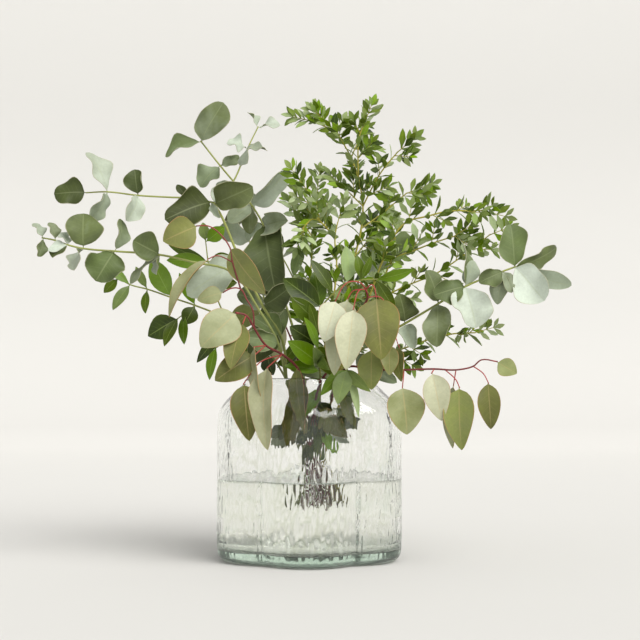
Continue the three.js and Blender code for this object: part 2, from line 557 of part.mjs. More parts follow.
// Shoots along a small-leaved stem or twig, and one from its end to the tip
function growShoots(name, path, first, tip, seed) {
  const solids = [];
  evenly(path, first, SHOOT.every).forEach((at, count) => {
    const next = draws(seed * 100 + count);
    const turn = count * SHOOT.turn + 30 * next();
    const lean = SHOOT.lean + 16 * (next() - 0.5);
    const size = 0.8 + 0.3 * next();
    const roll = 120 * (next() - 0.5);
    const root = alongPath(path, at);
    const forward = alongPath(path, at + 0.1).sub(alongPath(path, at - 0.1)).normalize();
    for (const [more, less] of SHOOT_DODGES) {
      const out = vector(0.2, 1, 0.1).cross(forward).normalize().applyAxisAngle(forward, radians(turn + more));
      const aim = forward.clone().multiplyScalar(Math.cos(radians(lean - less)));
      aim.addScaledVector(out, Math.sin(radians(lean - less)));
      const form = { root, tip: root.clone().addScaledVector(aim, shootLength(SHOOT.pairs) * size), roll,
        pairs: SHOOT.pairs };
      if (!isClear(name, shoot(form, CLEAR))) continue;
      solids.push(shoot(form));
      break;
    }
  });
  const root = path.length > 1 ? rootAt(path, path.length - 1) : path[0];
  const pairs = Math.max(1, Math.round((root.distanceTo(tip) - shootLength(0)) / SHOOT.step));
  const roll = ROLLS.find((angle) => isClear(name, shoot({ root, tip, roll: angle, pairs }, CLEAR)));
  if (roll !== undefined) solids.push(shoot({ root, tip, roll, pairs }));
  return solids;
}

const branches = Object.entries(BRANCHES).map(([name, branch], index) => {
  const paths = [];
  const tips = []; // of the shoots that end the small-leaved twigs
  const solids = [];
  branch.twigs.forEach(({ on, at, thick, through }) => {
    const isStem = on < 0;
    const start = isStem ? 0 : (branch.twigs[on].on < 0 ? 2 : 0) + at;
    const path = isStem ? stemPath(branch, through, index) : [alongPath(paths[on], start), ...through.map(place)];
    if (branch.kind === "small") tips.push(path.pop());
    paths.push(path);
    if (path.length > 1) solids.push(stick(path, thick));
  });
  return { name, ...branch, index, paths, tips, solids };
});

const vase = makeVase();
const holes = branches.map(({ paths, twigs }) =>
  stick(paths[0].slice(0, 3), [twigs[0].thick[0], twigs[0].thick[0]], CLEAR + 0.1));
const water = makeWater(holes);
record("vase", vase);
branches.forEach(({ name, solids }) => solids.forEach((solid) => record(name, solid)));

for (const branch of branches) {
  const { name, kind, index, paths, tips, solids, pairs } = branch;
  branch.twigs.forEach(({ on, leaves, shootsFrom }, i) => {
    const start = on < 0 ? 2 : 0;
    const more = leaves.flatMap((row) => growLeaf(name, kind, paths[i], start, row));
    if (pairs) more.push(...growPairs(name, kind, paths[i], start + pairs.from, pairs, index));
    if (kind === "small") more.push(...growShoots(name, paths[i], start + shootsFrom, tips[i], index * 20 + i));
    more.forEach((solid) => record(name, solid));
    solids.push(...more);
  });
}

const FINISH = {
  glass: { color: 0xd8e8dd, roughness: 0.05, metalness: 0, transparent: true, opacity: 0.35 },
  water: { color: 0xcfe3d6, roughness: 0.05, metalness: 0, transparent: true, opacity: 0.4 },
  silver: { color: 0x7d917a, roughness: 0.6, metalness: 0 },
  red: { color: 0xa3a667, roughness: 0.55, metalness: 0 },
  green: { color: 0x5f8a3c, roughness: 0.4, metalness: 0 },
  small: { color: 0x55792f, roughness: 0.4, metalness: 0 },
};

const bouquet = new THREE.Group();

function addNode(name, solid, finish) {
  const mesh = new THREE.Mesh(geometryOf(solid), new THREE.MeshStandardMaterial(FINISH[finish]));
  mesh.name = name;
  bouquet.add(mesh);
}

addNode("vase", vase, "glass");
addNode("water", water, "water");
branches.forEach(({ name, kind, solids }) => addNode(name, wasm.Manifold.union(solids), kind));

export default bouquet;
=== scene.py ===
"""Fresh eucalyptus branches standing in water in a lobed, hammered glass vase, with a pale studio.

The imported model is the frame. Each leafy branch is made again with smooth stems and finer leaves on the
same routes, and the vase gets its hammered wall. Millimetres in the tables, metres in the finished meshes.
"""

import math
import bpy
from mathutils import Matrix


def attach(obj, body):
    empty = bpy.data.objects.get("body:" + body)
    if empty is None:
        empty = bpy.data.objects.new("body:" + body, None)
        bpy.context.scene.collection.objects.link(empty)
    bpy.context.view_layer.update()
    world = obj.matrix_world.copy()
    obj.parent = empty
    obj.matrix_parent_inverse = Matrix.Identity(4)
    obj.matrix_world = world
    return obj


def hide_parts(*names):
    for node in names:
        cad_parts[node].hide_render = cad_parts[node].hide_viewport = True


bl_info = {
    "name": "Eucalyptus in a lobed glass vase",
    "version": (1, 0, 0),
    "blender": (4, 5, 0),
    "location": "3D View > Sidebar > Eucalyptus",
    "description": "Leafy eucalyptus branches, a hammered glass vase with water, and a pale studio",
    "category": "Add Mesh",
}

import bmesh
import bpy
from bpy.props import FloatProperty, FloatVectorProperty, IntProperty, PointerProperty
from mathutils import Color, Matrix, Vector, kdtree, noise

for leftover in ("Cube", "Light", "Camera"):
    if leftover in bpy.data.objects:
        bpy.data.objects.remove(bpy.data.objects[leftover])
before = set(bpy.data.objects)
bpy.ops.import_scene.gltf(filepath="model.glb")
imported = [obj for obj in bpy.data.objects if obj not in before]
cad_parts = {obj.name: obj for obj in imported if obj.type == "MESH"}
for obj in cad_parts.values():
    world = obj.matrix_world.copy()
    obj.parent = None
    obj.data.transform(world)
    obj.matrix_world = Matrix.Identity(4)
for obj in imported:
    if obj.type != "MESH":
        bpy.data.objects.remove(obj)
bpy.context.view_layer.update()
MM = 0.001
LARGEST_DRAW = 2**31 - 1

# The vase, as the frame has it: a ring of six round lobes, drawn in at the shoulder to a round mouth.
# The creases between the lobes are rounded by so many degrees. The last value is how far apart the rings
# of cells stand on the inside.
LOBES = 6
LOBE_CENTRE = 52.6
LOBE_RADIUS = 53.4
CREASE = 2.5
BODY_RADIUS = 100
WALL_HIGH = 152
MOUTH_HEIGHT = 188
FLOOR_HEIGHT = 12
WATER_HEIGHT = 87
INNER_STEP = 5

# The hammered relief is on the wall beyond the first radius, and above the shoulder's height beyond the
# mouth's radius
WALL_OUTSIDE = 97
SHOULDER_HEIGHT = 160
MOUTH_RADIUS = 69.6

# It sets in and dies out between these heights, and is calmer by so much above the water
RELIEF_LOW = (4, 14)
RELIEF_HIGH = (148, 176)
RELIEF_CALM = (84, 120)
CALMER = 0.55

# Its share on the plainest parts of the wall, and from where to where on a slow swing round the wall it
# grows to all of it
PLAINEST = 0.4
PLAIN_SWING = (-0.5, 0.6)

# Its cells: how far their rows wander, how far in from the edge a dome rises, its middle level, and where a
# valley fades out
WANDER = 0.6
DOME_RISE = 0.55
DOME_MIDDLE = 0.55
VALLEY_FADE = (0.03, 0.2)

# The bunch: stems stand close together at the waist and fan out evenly up to the mouth
FOOT_SPREAD = 1.5
FOOT_HEIGHT = 56
FOOT_STEP = 4
WAIST_HEIGHT = 94
WAIST_SPREAD = 1.2
MOUTH_SPREAD = 4.6
BUNCH_CENTRE = (3, 0)
STEM_HEIGHT = 190

# The eye that the branches are read from: across, up, how far in front of the vase's axis, its tilt in
# degrees, and its lens and sensor in millimetres
EYE_ACROSS = 11.5
EYE_UP = 187.5
EYE_DISTANCE = 1430
EYE_TILT = 2.86
EYE_LENS = 73.1
EYE_SENSOR = 36

# Leaves: how far up the widest part is, how blunt the ends are, the bow along the length, the wave of
# the edges, the twist and the most that an edge curls up in degrees, and the cells across and along
LEAF = {
    "silver": dict(widest=0.92, blunt=0.55, bow=0.1, wave=0.14, twist=20, curl=150, cells=(12, 16)),
    "red": dict(widest=0.7, blunt=0.72, bow=0.08, wave=0.045, twist=14, curl=70, cells=(8, 14)),
    "green": dict(widest=0.9, blunt=0.8, bow=0.08, wave=0.02, twist=12, curl=30, cells=(6, 10)),
    "small": dict(widest=0.9, blunt=0.9, bow=0.05, wave=0.0, twist=8, curl=0, cells=(2, 4)),
}

# All leaves: the least fold along the rib and what chance adds to it, in degrees
FOLD = 5
FOLD_MORE = 7

# Their edges: where across the half blade the curl sets in, the share that curl up, how far the others go
# down, and how uneven the outline is for the wave of its kind
CURL_FROM = 0.4
CURL_UP_SHARE = 0.75
CURL_DOWN = -0.4
UNEVEN = 1.4

# Their narrowest half widths, at the neck and at the tip
NECK_HALF = 0.45
TIP_HALF = 0.1

# Their rows of cells: how much evenly spread and how much crowded at both ends
ROWS_EVEN = 0.45
ROWS_CROWDED = 0.55

# Where along them the twist is nothing, one full wave, the change of tone to the underside, and the angle
# from which an edge is shaded as sharp
TWIST_FROM = 0.3
FULL_WAVE = 6.28
UNDERSIDE = 0.28
SHARP = math.radians(60)

# The frame's leaves: their thickness, the length of the neck and its most as a share of a short leaf, how
# deep what grows from the end of a twig is sunk in it, and how near a corner counts as the same
BLADE = 0.7
NECK = 3
NECK_SHARE = 0.12
SINK = 1.6
CORNER_GAP = 0.05

# Where the frame puts a leaf whose first place is taken: further round in degrees, and further back
DODGES = [(0, 0), (0, -8), (0, 8), (18, -4), (-18, 4), (0, -16), (0, 16), (30, -10), (-30, 10),
          (0, -26), (0, 26), (55, 0), (-55, 0)]

# The same for a side shoot, further round and leaning less, and the rolls that its end shoot may have
SHOOT_DODGES = [(0, 0), (25, 0), (-25, 0), (50, 10), (-50, 10), (80, 15), (-80, 15), (120, 20), (180, 10)]
ROLLS = [20, -20, 50, -50, 80, -80, 110]

# Side shoots of the small-leaved branches: the way from one to the next, their pairs of leaves, where the
# first pair stands and the step to the next, the end leaf's length and width, how far the leaves spread
# and the shoot leans in degrees, and the turn from one shoot to the next
SHOOT = dict(every=90, pairs=2, first=6, step=9, leaf=14, width=7, spread=50, lean=46, turn=137.5)
SIDEWAYS = Vector((0.2, 1, 0.1))

# The leaves that dress a shoot are longer than the solids' single one by so much. A twig is dressed from
# here on at the latest, with side shoots no nearer to the frame's own than this, many of one pair only.
LONGER = 1.42
DRESSED_FROM = 0.7
TOO_NEAR = 0.2
ONE_PAIR_SHARE = 0.55

# Stems, twigs, leaf stalks and shoots: points for each span of a path, sides, thickness, how much finer a
# small-leaved twig ends than in the solids, and how far they go from the stem's colour to the stalk's,
# from foot to tip
SPAN_POINTS = 5
STEM_SIDES = 8
TWIG_SIDES = 6
STALK_THICK = (0.7, 0.55)
SHOOT_THICK = (0.6, 0.5, 0.35)
SLENDER = 0.95
STALK_TONES = (0.7, 1)
TWIG_TONES = {
    ("silver", True): (0, 1),
    ("silver", False): (0.5, 1),
    ("red", True): (0, 0.25),
    ("red", False): (0.1, 0.6),
    ("green", True): (0, 1),
    ("green", False): (0.5, 1),
    ("small", True): (0.1, 1),
    ("small", False): (0.6, 1),
}

# The paper sweep in metres: half its width, how far it runs in all and in front of the vase, how far it
# lies flat, the length of its bend, and how far it lies under the vase. Then the light: where the sun
# stands, its colour and the sky's, and how high the sky goes from its horizon's strength to its own.
SWEEP_HALF = 4.5
SWEEP_RUN = 9
SWEEP_FRONT = 3.2
SWEEP_FLAT = 2.2
SWEEP_BEND = 1.9
SWEEP_DROP = 0.0003
SUN_FROM = (0.56, -0.62, 0.84)
SUN_COLOUR = (1, 0.985, 0.95)
SKY_COLOUR = (1, 0.995, 0.985, 1)
SKY_FADE = (0.05, 0.6)

# Finishes: plain white, how the glass and the water bend light, and how fast water takes its colour. Then
# the sockets of a mix of colours, which share their names with others and so are known by number.
WHITE = (1, 1, 1, 1)
GLASS_IOR = 1.46
WATER_IOR = 1.33
WATER_DENSITY = 1.2
COLOUR_A = 6
COLOUR_B = 7
COLOUR_MIXED = 2


def leaf(tone, at, tip, width, turn=0, fold=0, stalk=(), edges=(), extra=False):
    """A leaf from point `at` of its twig to its tip. The tone runs from 0, dark, to 9, pale.
    `edges` gives how far its two edges curl up in degrees, where they aren't left to chance."""
    return dict(tone=tone / 9, at=at, tip=tip, width=width, turn=turn, fold=fold, stalk=stalk, edges=edges,
                extra=extra)


def small_leaf(tone, at, tip, width, turn=0, fold=0):
    """A leaf that the solids leave out for its size."""
    return leaf(tone, at, tip, width, turn, fold, extra=True)


def twig(on, at, thick, through, leaves=(), shoots_from=0.5):
    """A twig that leaves stem or twig number `on` at a point of it, through points of its own."""
    return dict(on=on, at=at, thick=thick, through=through, leaves=leaves, shoots_from=shoots_from)


def stem(thick, through, leaves=(), shoots_from=1):
    """The stem of a branch, from the water up through the mouth and through points above it."""
    return dict(on=-1, at=0, thick=thick, through=through, leaves=leaves, shoots_from=shoots_from)


# Each branch: its leaf kind, where it stands in the bunch, its stem and twigs in growing order, through
# points that are across, up and behind, and for some the length and width of leaves in pairs and the first
# point that has them. A stem's point 0 is where it passes the mouth.
BRANCHES = {
    "silver_left_upper": dict(kind="silver", stand=[-6, -2], twigs=[
        stem([1.8, 1.3], [[-30, 237, -18], [-52, 275, -24], [-76, 323, -30], [-97, 373, -28],
          [-106, 389, -25]], [
          leaf(2, -0.55, [-34, 118, -14], 20, 40), leaf(3, 1, [-62, 262, -22], 28, 20),
          leaf(2, 2, [-20, 296, -34], 30, 25), leaf(7, 3, [-135, 286, -40], 40, 12, edges=(35, 50)),
          leaf(4, 5, [-63, 407, -45], 38, 10, edges=(80, 60)), leaf(8, 5, [-104, 407, -22], 14, 20),
          leaf(1, 1.2, [-66, 213, -28], 32, 10),
        ]),
        twig(0, 5, [1.2, 0.8], [[-135, 394, -30], [-155, 395, -34], [-190, 397, -38], [-224, 401, -42],
          [-248, 400, -45]], [
          leaf(1, 0.1, [-160, 370, -52], 42, 8, edges=(20, 115)), leaf(1, 3, [-194, 426, -40], 24),
          leaf(8, 3, [-203, 369, -62], 24, -50), leaf(8, 4, [-248, 445, -50], 28, 58),
          leaf(6, 4, [-244, 369, -52], 26, -62), leaf(1, 5, [-283, 399, -48], 31, 8),
        ]),
        twig(0, 5, [1.1, 0.7], [[-85, 412, -18], [-75, 434, -12], [-69, 449, -8], [-57, 474, -2]], [
          leaf(8, 3, [-92, 455, -14], 22, 60), leaf(7, 3, [-69, 433, -30], 24, 50),
          leaf(7, 3, [-47, 447, 0], 22, -60), leaf(7, 4, [-69, 490, 0], 18, 72),
          leaf(8, 4, [-33, 475, -8], 20, -60),
        ]),
    ]),
    "silver_left_low": dict(kind="silver", stand=[-6, -6], twigs=[
        stem([1.6, 0.8], [[-34, 232, -40], [-57, 272, -48], [-86, 312, -55], [-129, 323, -58],
          [-165, 331, -61], [-215, 335, -63], [-250, 338, -63], [-267, 342, -63], [-281, 347, -62],
          [-296, 350, -60]], [
          leaf(2, -0.5, [-46, 132, -44], 20, 20), leaf(4, 1, [-70, 240, -60], 26, 30),
          leaf(3, 5, [-195, 347, -70], 32), leaf(7, 5, [-169, 309, -60], 22, 50),
          leaf(1, 6, [-236, 302, -74], 42, edges=(15, 60)), leaf(5, 6, [-209, 371, -58], 24, 66),
          leaf(4, 7, [-250, 377, -58], 40, edges=(60, 15)), leaf(8, 7, [-260, 314, -76], 32, 64),
          leaf(8, 8, [-274, 356, -60], 16, 60), leaf(2, 8, [-284, 328, -72], 22, 52),
          leaf(6, 9, [-288, 367, -58], 16, 60), leaf(7, 10, [-306, 366, -58], 15, 60),
          leaf(5, 10, [-300, 329, -64], 15, -55),
        ]),
    ]),
    "silver_left_high": dict(kind="silver", stand=[-2, 2], twigs=[
        stem([1.7, 0.9], [[-16, 242, 18], [-29, 285, 25], [-41, 330, 32], [-51, 364, 38], [-64, 386, 40],
          [-79, 406, 42], [-99, 430, 44], [-121, 458, 46]], [
          leaf(2, 2, [-62, 300, 30], 30, 20), leaf(2, 2, [4, 300, 40], 28, -30),
          leaf(2, 4, [-37, 288, 10], 52, 0, 10, edges=(125, 10)), leaf(6, 4, [-24, 369, 16], 38, 10, 35),
          leaf(6, 4, [-71, 350, 52], 24, 30), leaf(7, 5, [-26, 424, 30], 32, 30, 20, edges=(110, 50)),
          leaf(6, 5, [-89, 366, 28], 22, 10), leaf(5, 7, [-121, 406, 38], 28, 30),
          leaf(5, 7, [-78, 441, 46], 15, 20), leaf(5, 8, [-96, 501, 40], 38, -10, edges=(60, 35)),
          leaf(4, 8, [-160, 440, 52], 26, 50, 20), leaf(1, 1.7, [-59, 235, 6], 38, 5),
        ]),
    ]),
    "silver_right": dict(kind="silver", stand=[6, -2], twigs=[
        stem([1.8, 0.9], [[50, 220, -20], [77, 239, -32], [105, 255, -42], [142, 277, -50], [172, 296, -54],
          [214, 313, -56], [228, 318, -56]], [
          leaf(2, -0.4, [56, 150, -14], 18, 30), leaf(5, 1, [96, 190, -48], 22, 10),
          leaf(3, 2, [70, 275, -40], 26, 30), leaf(2, 3, [99, 288, -52], 28, 20),
          leaf(7, 3, [116, 228, -60], 22, 20), leaf(4, 4, [129, 314, -52], 28, 20),
          leaf(5, 4, [140, 229, -64], 30, 10), leaf(7, 5, [181, 325, -52], 17),
          # The two leaves at tone 9 are pale from their wax and also from painted sheen.
          leaf(4, 5, [166, 349, -48], 22, 62), leaf(9, 5, [183, 250, -68], 46, 0, 15, edges=(20, 75)),
          leaf(2, 5, [137, 286, -66], 28, 10), leaf(4, 6, [187, 300, -64], 20),
          leaf(6, 6, [207, 276, -60], 19, 20), leaf(3, 7, [222, 365, -50], 34, edges=(25, 45)),
          leaf(9, 7, [259, 280, -64], 46, 0, 22, edges=(55, 70)),
          leaf(3, 7, [273, 339, -24], 18, 25, edges=(15, 20)),
          leaf(7, 7, [289, 297, -36], 22, 25, edges=(15, 20)), leaf(3, 0.2, [-22, 206, -32], 26, 45),
        ]),
    ]),
    "silver_back_left": dict(kind="silver", stand=[-6, 6], pairs=(38, 34, 1), twigs=[
        stem([1.6, 0.8], [[-38, 240, 62], [-48, 275, 100], [-58, 312, 135], [-66, 345, 165],
          [-72, 372, 190]]),
    ]),
    "silver_back_right": dict(kind="silver", stand=[2, 10], pairs=(36, 33, 1), twigs=[
        stem([1.6, 0.8], [[26, 240, 82], [48, 275, 116], [68, 305, 150], [85, 335, 180]]),
    ]),
    "red_left": dict(kind="red", stand=[-2, -10], twigs=[
        stem([1.6, 1.1], [[-14, 207, -52], [-30, 221, -62], [-48, 231, -72], [-61, 250, -82],
          [-70, 264, -88], [-82, 267, -92]], [
          leaf(1, 0, [-24, 118, -62], 22, 10), leaf(2, 1, [-4, 134, -74], 18, 30),
          leaf(1, 2, [-66, 126, -106], 31, 0, 0, [[-55, 212, -84], [-73, 188, -98]]),
          leaf(7, 2, [-46, 116, -116], 34, 35, 20, [[-47, 206, -96]]),
          leaf(1, 3, [-104, 192, -98], 32, 10, 0, [[-62, 219, -84]]),
          leaf(6, 3, [-50, 163, -104], 20, 60, 0, [[-62, 229, -88]]),
          leaf(4, 5, [-87, 205, -104], 28, 20, 0, [[-74, 254, -94]]), leaf(6, 6, [-120, 229, -102], 42),
        ]),
        twig(0, 4, [1, 0.7], [[-63, 271, -84], [-69, 281, -84], [-76, 293, -83], [-86, 294, -82],
          [-96, 289, -81]], [
          leaf(5, 5, [-124, 281, -84], 19),
        ]),
        twig(1, 3, [0.9, 0.65], [[-85, 323, -78], [-88, 339, -74], [-102, 357, -72], [-112, 363, -72],
          [-126, 363, -72]], [
          leaf(4, 2, [-49, 288, -86], 30, 30), leaf(4, 5, [-162, 346, -76], 36),
        ]),
        twig(2, 1, [0.75, 0.6], [[-102, 330, -82], [-113, 326, -86]], [
          leaf(6, 2, [-155, 262, -92], 26, 55, 20),
        ]),
    ]),
    "red_centre": dict(kind="red", stand=[2, -10], twigs=[
        stem([1.6, 1.1], [[39, 224, -62], [54, 256, -80], [59, 273, -92], [64, 284, -98],
          [62, 293, -102]], [
          leaf(2, 2, [68, 182, -98], 28, 10, 0, [[66, 240, -88], [69, 226, -94]]),
          leaf(2, 3, [101, 191, -96], 18, 40, 0, [[84, 262, -90], [99, 228, -96]]),
          leaf(5, 4, [88, 198, -106], 20, 10, 0, [[78, 284, -96], [87, 268, -98], [88, 232, -104]]),
          leaf(9, 5, [16, 235, -126], 32, 0, 0, [[56, 300, -106], [41, 300, -112], [28, 279, -118]]),
          leaf(7, 5, [27, 198, -112], 32, 10, 15, [[48, 291, -100], [41, 281, -102]]),
          leaf(8, 5, [40, 204, -136], 32, 0, 0, [[54, 291, -114], [48, 270, -126]]),
          leaf(3, 5, [79, 215, -124], 46, 0, 8, [[69, 298, -108], [74, 283, -114]]),
          leaf(2, -0.3, [42, 130, -44], 22, 20),
        ]),
    ]),
    "red_right": dict(kind="red", stand=[6, -6], twigs=[
        stem([1.5, 0.7], [[42, 207, -50], [61, 206, -72], [84, 204, -92], [104, 204, -98], [137, 205, -102],
          [161, 204, -104], [180, 208, -104], [189, 215, -104], [207, 213, -104]], [
          leaf(2, 0.4, [48, 141, -42], 17, 30), leaf(5, 4, [107, 133, -106], 40, 0, 8, [[102, 184, -104]]),
          leaf(8, 5, [145, 148, -110], 28, 0, 0, [[134, 200, -106]]),
          leaf(3, 5.5, [167, 116, -108], 32, 15, 10, [[161, 193, -106], [165, 184, -106]]),
          leaf(6, 6, [157, 118, -98], 20, 50, 0, [[158, 186, -98]]),
          leaf(2, 7, [199, 139, -108], 24, 5, 0, [[191, 200, -106], [197, 189, -108]]),
          leaf(5, 9, [228, 200, -106], 19.5),
        ]),
    ]),
    "red_back": dict(kind="red", stand=[-2, 10], twigs=[
        stem([1.5, 0.9], [[-14, 218, 74], [-22, 242, 102], [-32, 262, 126], [-44, 272, 150]], [
          leaf(5, 2, [6, 204, 134], 34, 160, 0, [[-14, 240, 120]]),
          leaf(4, 3, [-66, 214, 148], 38, 150, 8, [[-44, 254, 140]]),
          leaf(4, 4, [-36, 214, 178], 36, 170, 0, [[-44, 262, 166]]),
          leaf(6, 4, [-88, 246, 168], 34, 150, 0, [[-58, 274, 158]]),
        ]),
    ]),
    "green_left": dict(kind="green", stand=[-6, 2], twigs=[
        stem([1.4, 0.7], [[-52, 231, 12], [-93, 261, 14], [-126, 275, 12], [-153, 284, 10], [-179, 293, 8],
          [-198, 298, 6], [-212, 306, 4]], [
          leaf(1, 1, [-86, 214, 6], 20, 20), leaf(2, 1, [-60, 262, 6], 20, 30),
          leaf(2, 3, [-138, 254, 4], 20), leaf(5, 4, [-175, 327, 8], 24),
          leaf(6, 6, [-217, 270, -4], 14, 10), leaf(4, 7, [-227, 289, 2], 12),
          leaf(1, 2, [-107, 226, 18], 22, 10), leaf(0, 0.8, [-40, 198, 14], 20, 30),
          leaf(2, 0.5, [-12, 222, 30], 18, 40),
        ]),
        twig(0, 3, [0.8, 0.6], [[-146, 260, 2]], [
          leaf(1, 1, [-178, 241, -4], 28), leaf(3, 1, [-160, 230, -10], 14, 20),
        ]),
        twig(0, 2, [0.9, 0.6], [[-108, 300, 18], [-112, 323, 18], [-115, 347, 18]], [
          leaf(2, 1, [-80, 300, 14], 16), leaf(5, 2, [-158, 325, 12], 18),
          leaf(3, 2, [-88, 330, 24], 16, 20), leaf(6, 3, [-118, 367, 16], 13),
          leaf(5, 3, [-94, 362, 14], 18, 10),
        ]),
        twig(0, 2, [0.7, 0.6], [[-103, 228, 6]], [
          leaf(2, 1, [-110, 193, 2], 13, 25),
        ]),
    ]),
    "green_centre": dict(kind="green", stand=[2, -6], twigs=[
        stem([1.4, 0.7], [[9, 231, -40], [13, 272, -50], [26, 288, -54], [41, 299, -56], [57, 303, -58],
          [75, 304, -60]], [
          leaf(2, -0.4, [12, 124, -46], 20, 20), leaf(1, 1, [-22, 252, -52], 24, 10),
          leaf(3, 1, [30, 196, -66], 20, 20), leaf(2, 2, [5, 313, -44], 20),
          leaf(1, 2, [-29, 305, -50], 26, 10), leaf(2, 3, [1, 326, -56], 15, 20),
          leaf(8, 4, [40, 341, -50], 22, 35), leaf(4, 5, [52, 331, -60], 11, 10),
          leaf(3, 6, [95, 269, -66], 14, 10), leaf(4, 6, [115, 315, -58], 13, 25),
          leaf(4, 1.6, [-20, 284, -58], 22, -15), leaf(3, 1.2, [0, 276, -64], 14, 20),
          leaf(4, 0.5, [-24, 236, -60], 22, 10), leaf(6, 0.4, [4, 229, -76], 15, 20),
          leaf(0, -0.2, [24, 146, -22], 26, 40),
        ]),
        twig(0, 0.6, [0.9, 0.7], [[28, 212, -62], [42, 204, -80]], [
          leaf(7, 2, [31, 166, -108], 20, 10), leaf(6, 2, [67, 180, -104], 12, 20),
        ]),
    ]),
    "green_back": dict(kind="green", stand=[2, 6], pairs=(40, 16, 1), twigs=[
        stem([1.4, 0.7], [[5, 240, 58], [-6, 275, 86], [-18, 305, 112], [-30, 328, 138], [-38, 340, 160]]),
    ]),
    "small_main": dict(kind="small", stand=[2, 2], twigs=[
        stem([1.7, 0.75], [[20, 231, 16], [39, 281, 24], [50, 329, 30], [57, 360, 32], [59, 385, 34],
          [54, 416, 36], [46, 439, 38], [30, 468, 41], [-5, 502, 44]], [], 2),
        twig(0, 6, [0.9, 0.75], [[55, 462, 28], [60, 476, 24], [74, 511, 16]]),
        twig(0, 8, [0.9, 0.75], [[4, 480, 48], [-32, 488, 54]]),
        twig(0, 5, [0.9, 0.75], [[71, 409, 26], [80, 424, 20], [98, 446, 14], [127, 471, 6]]),
        twig(0, 4, [0.9, 0.75], [[80, 377, 42], [108, 400, 46], [147, 415, 50]]),
        twig(0, 5, [0.9, 0.75], [[40, 404, 42], [12, 430, 54]]),
        twig(0, 7, [0.9, 0.75], [[54, 458, 58], [66, 482, 90]]),
        twig(0, 3, [0.9, 0.75], [[68, 352, 60], [80, 372, 82], [92, 400, 112]]),
    ]),
    "small_left": dict(kind="small", stand=[2, -2], twigs=[
        stem([1.4, 0.75], [[17, 231, -6], [26, 281, 0], [30, 318, 4], [28, 351, 6], [31, 367, 5],
          [42, 404, 0]], [], 1.6),
        twig(0, 4, [0.9, 0.75], [[6, 377, 0], [0, 400, -4], [-28, 437, -12]]),
        twig(1, 0.4, [0.9, 0.75], [[4, 371, -14], [-8, 360, -20], [-18, 326, -28]]),
    ]),
    "small_right_arch": dict(kind="small", stand=[6, 2], twigs=[
        stem([1.5, 0.75], [[45, 240, 12], [66, 285, 14], [81, 325, 14], [105, 366, 12], [131, 374, 8],
          [151, 379, 4], [176, 380, 0], [194, 380, -2], [230, 370, -8]], [], 1.6),
    ]),
    "small_right_middle": dict(kind="small", stand=[6, 6], twigs=[
        stem([1.5, 0.75], [[52, 240, 34], [76, 282, 40], [92, 325, 40], [116, 336, 34], [142, 346, 28],
          [161, 352, 24], [189, 370, 16]], [], 1.6),
        twig(0, 2, [1, 0.75], [[105, 296, 36], [139, 310, 30], [161, 324, 26], [180, 338, 22],
          [200, 354, 17], [232, 366, 10]]),
        twig(1, 4, [0.9, 0.75], [[212, 336, 32]]),
    ]),
    "small_right_low": dict(kind="small", stand=[9.5, 1], twigs=[
        stem([1.3, 0.75], [[70, 213, 12], [110, 230, 4], [153, 243, -6], [183, 245, -12],
          [215, 254, -18]], [], 1.5),
    ]),
    "small_back_left": dict(kind="small", stand=[-2, 6], twigs=[
        stem([1.5, 0.75], [[-6, 250, 52], [0, 300, 74], [4, 350, 92], [8, 395, 104],
          [12, 435, 112]], [], 1.6),
        twig(0, 3, [0.9, 0.75], [[-12, 372, 108], [-28, 400, 134]]),
    ]),
    "small_back_right": dict(kind="small", stand=[6, 10], twigs=[
        stem([1.5, 0.75], [[40, 250, 78], [58, 300, 108], [72, 345, 134], [82, 382, 156]], [], 1.6),
        twig(0, 2, [0.9, 0.75], [[84, 318, 120], [110, 342, 144]]),
    ]),
}

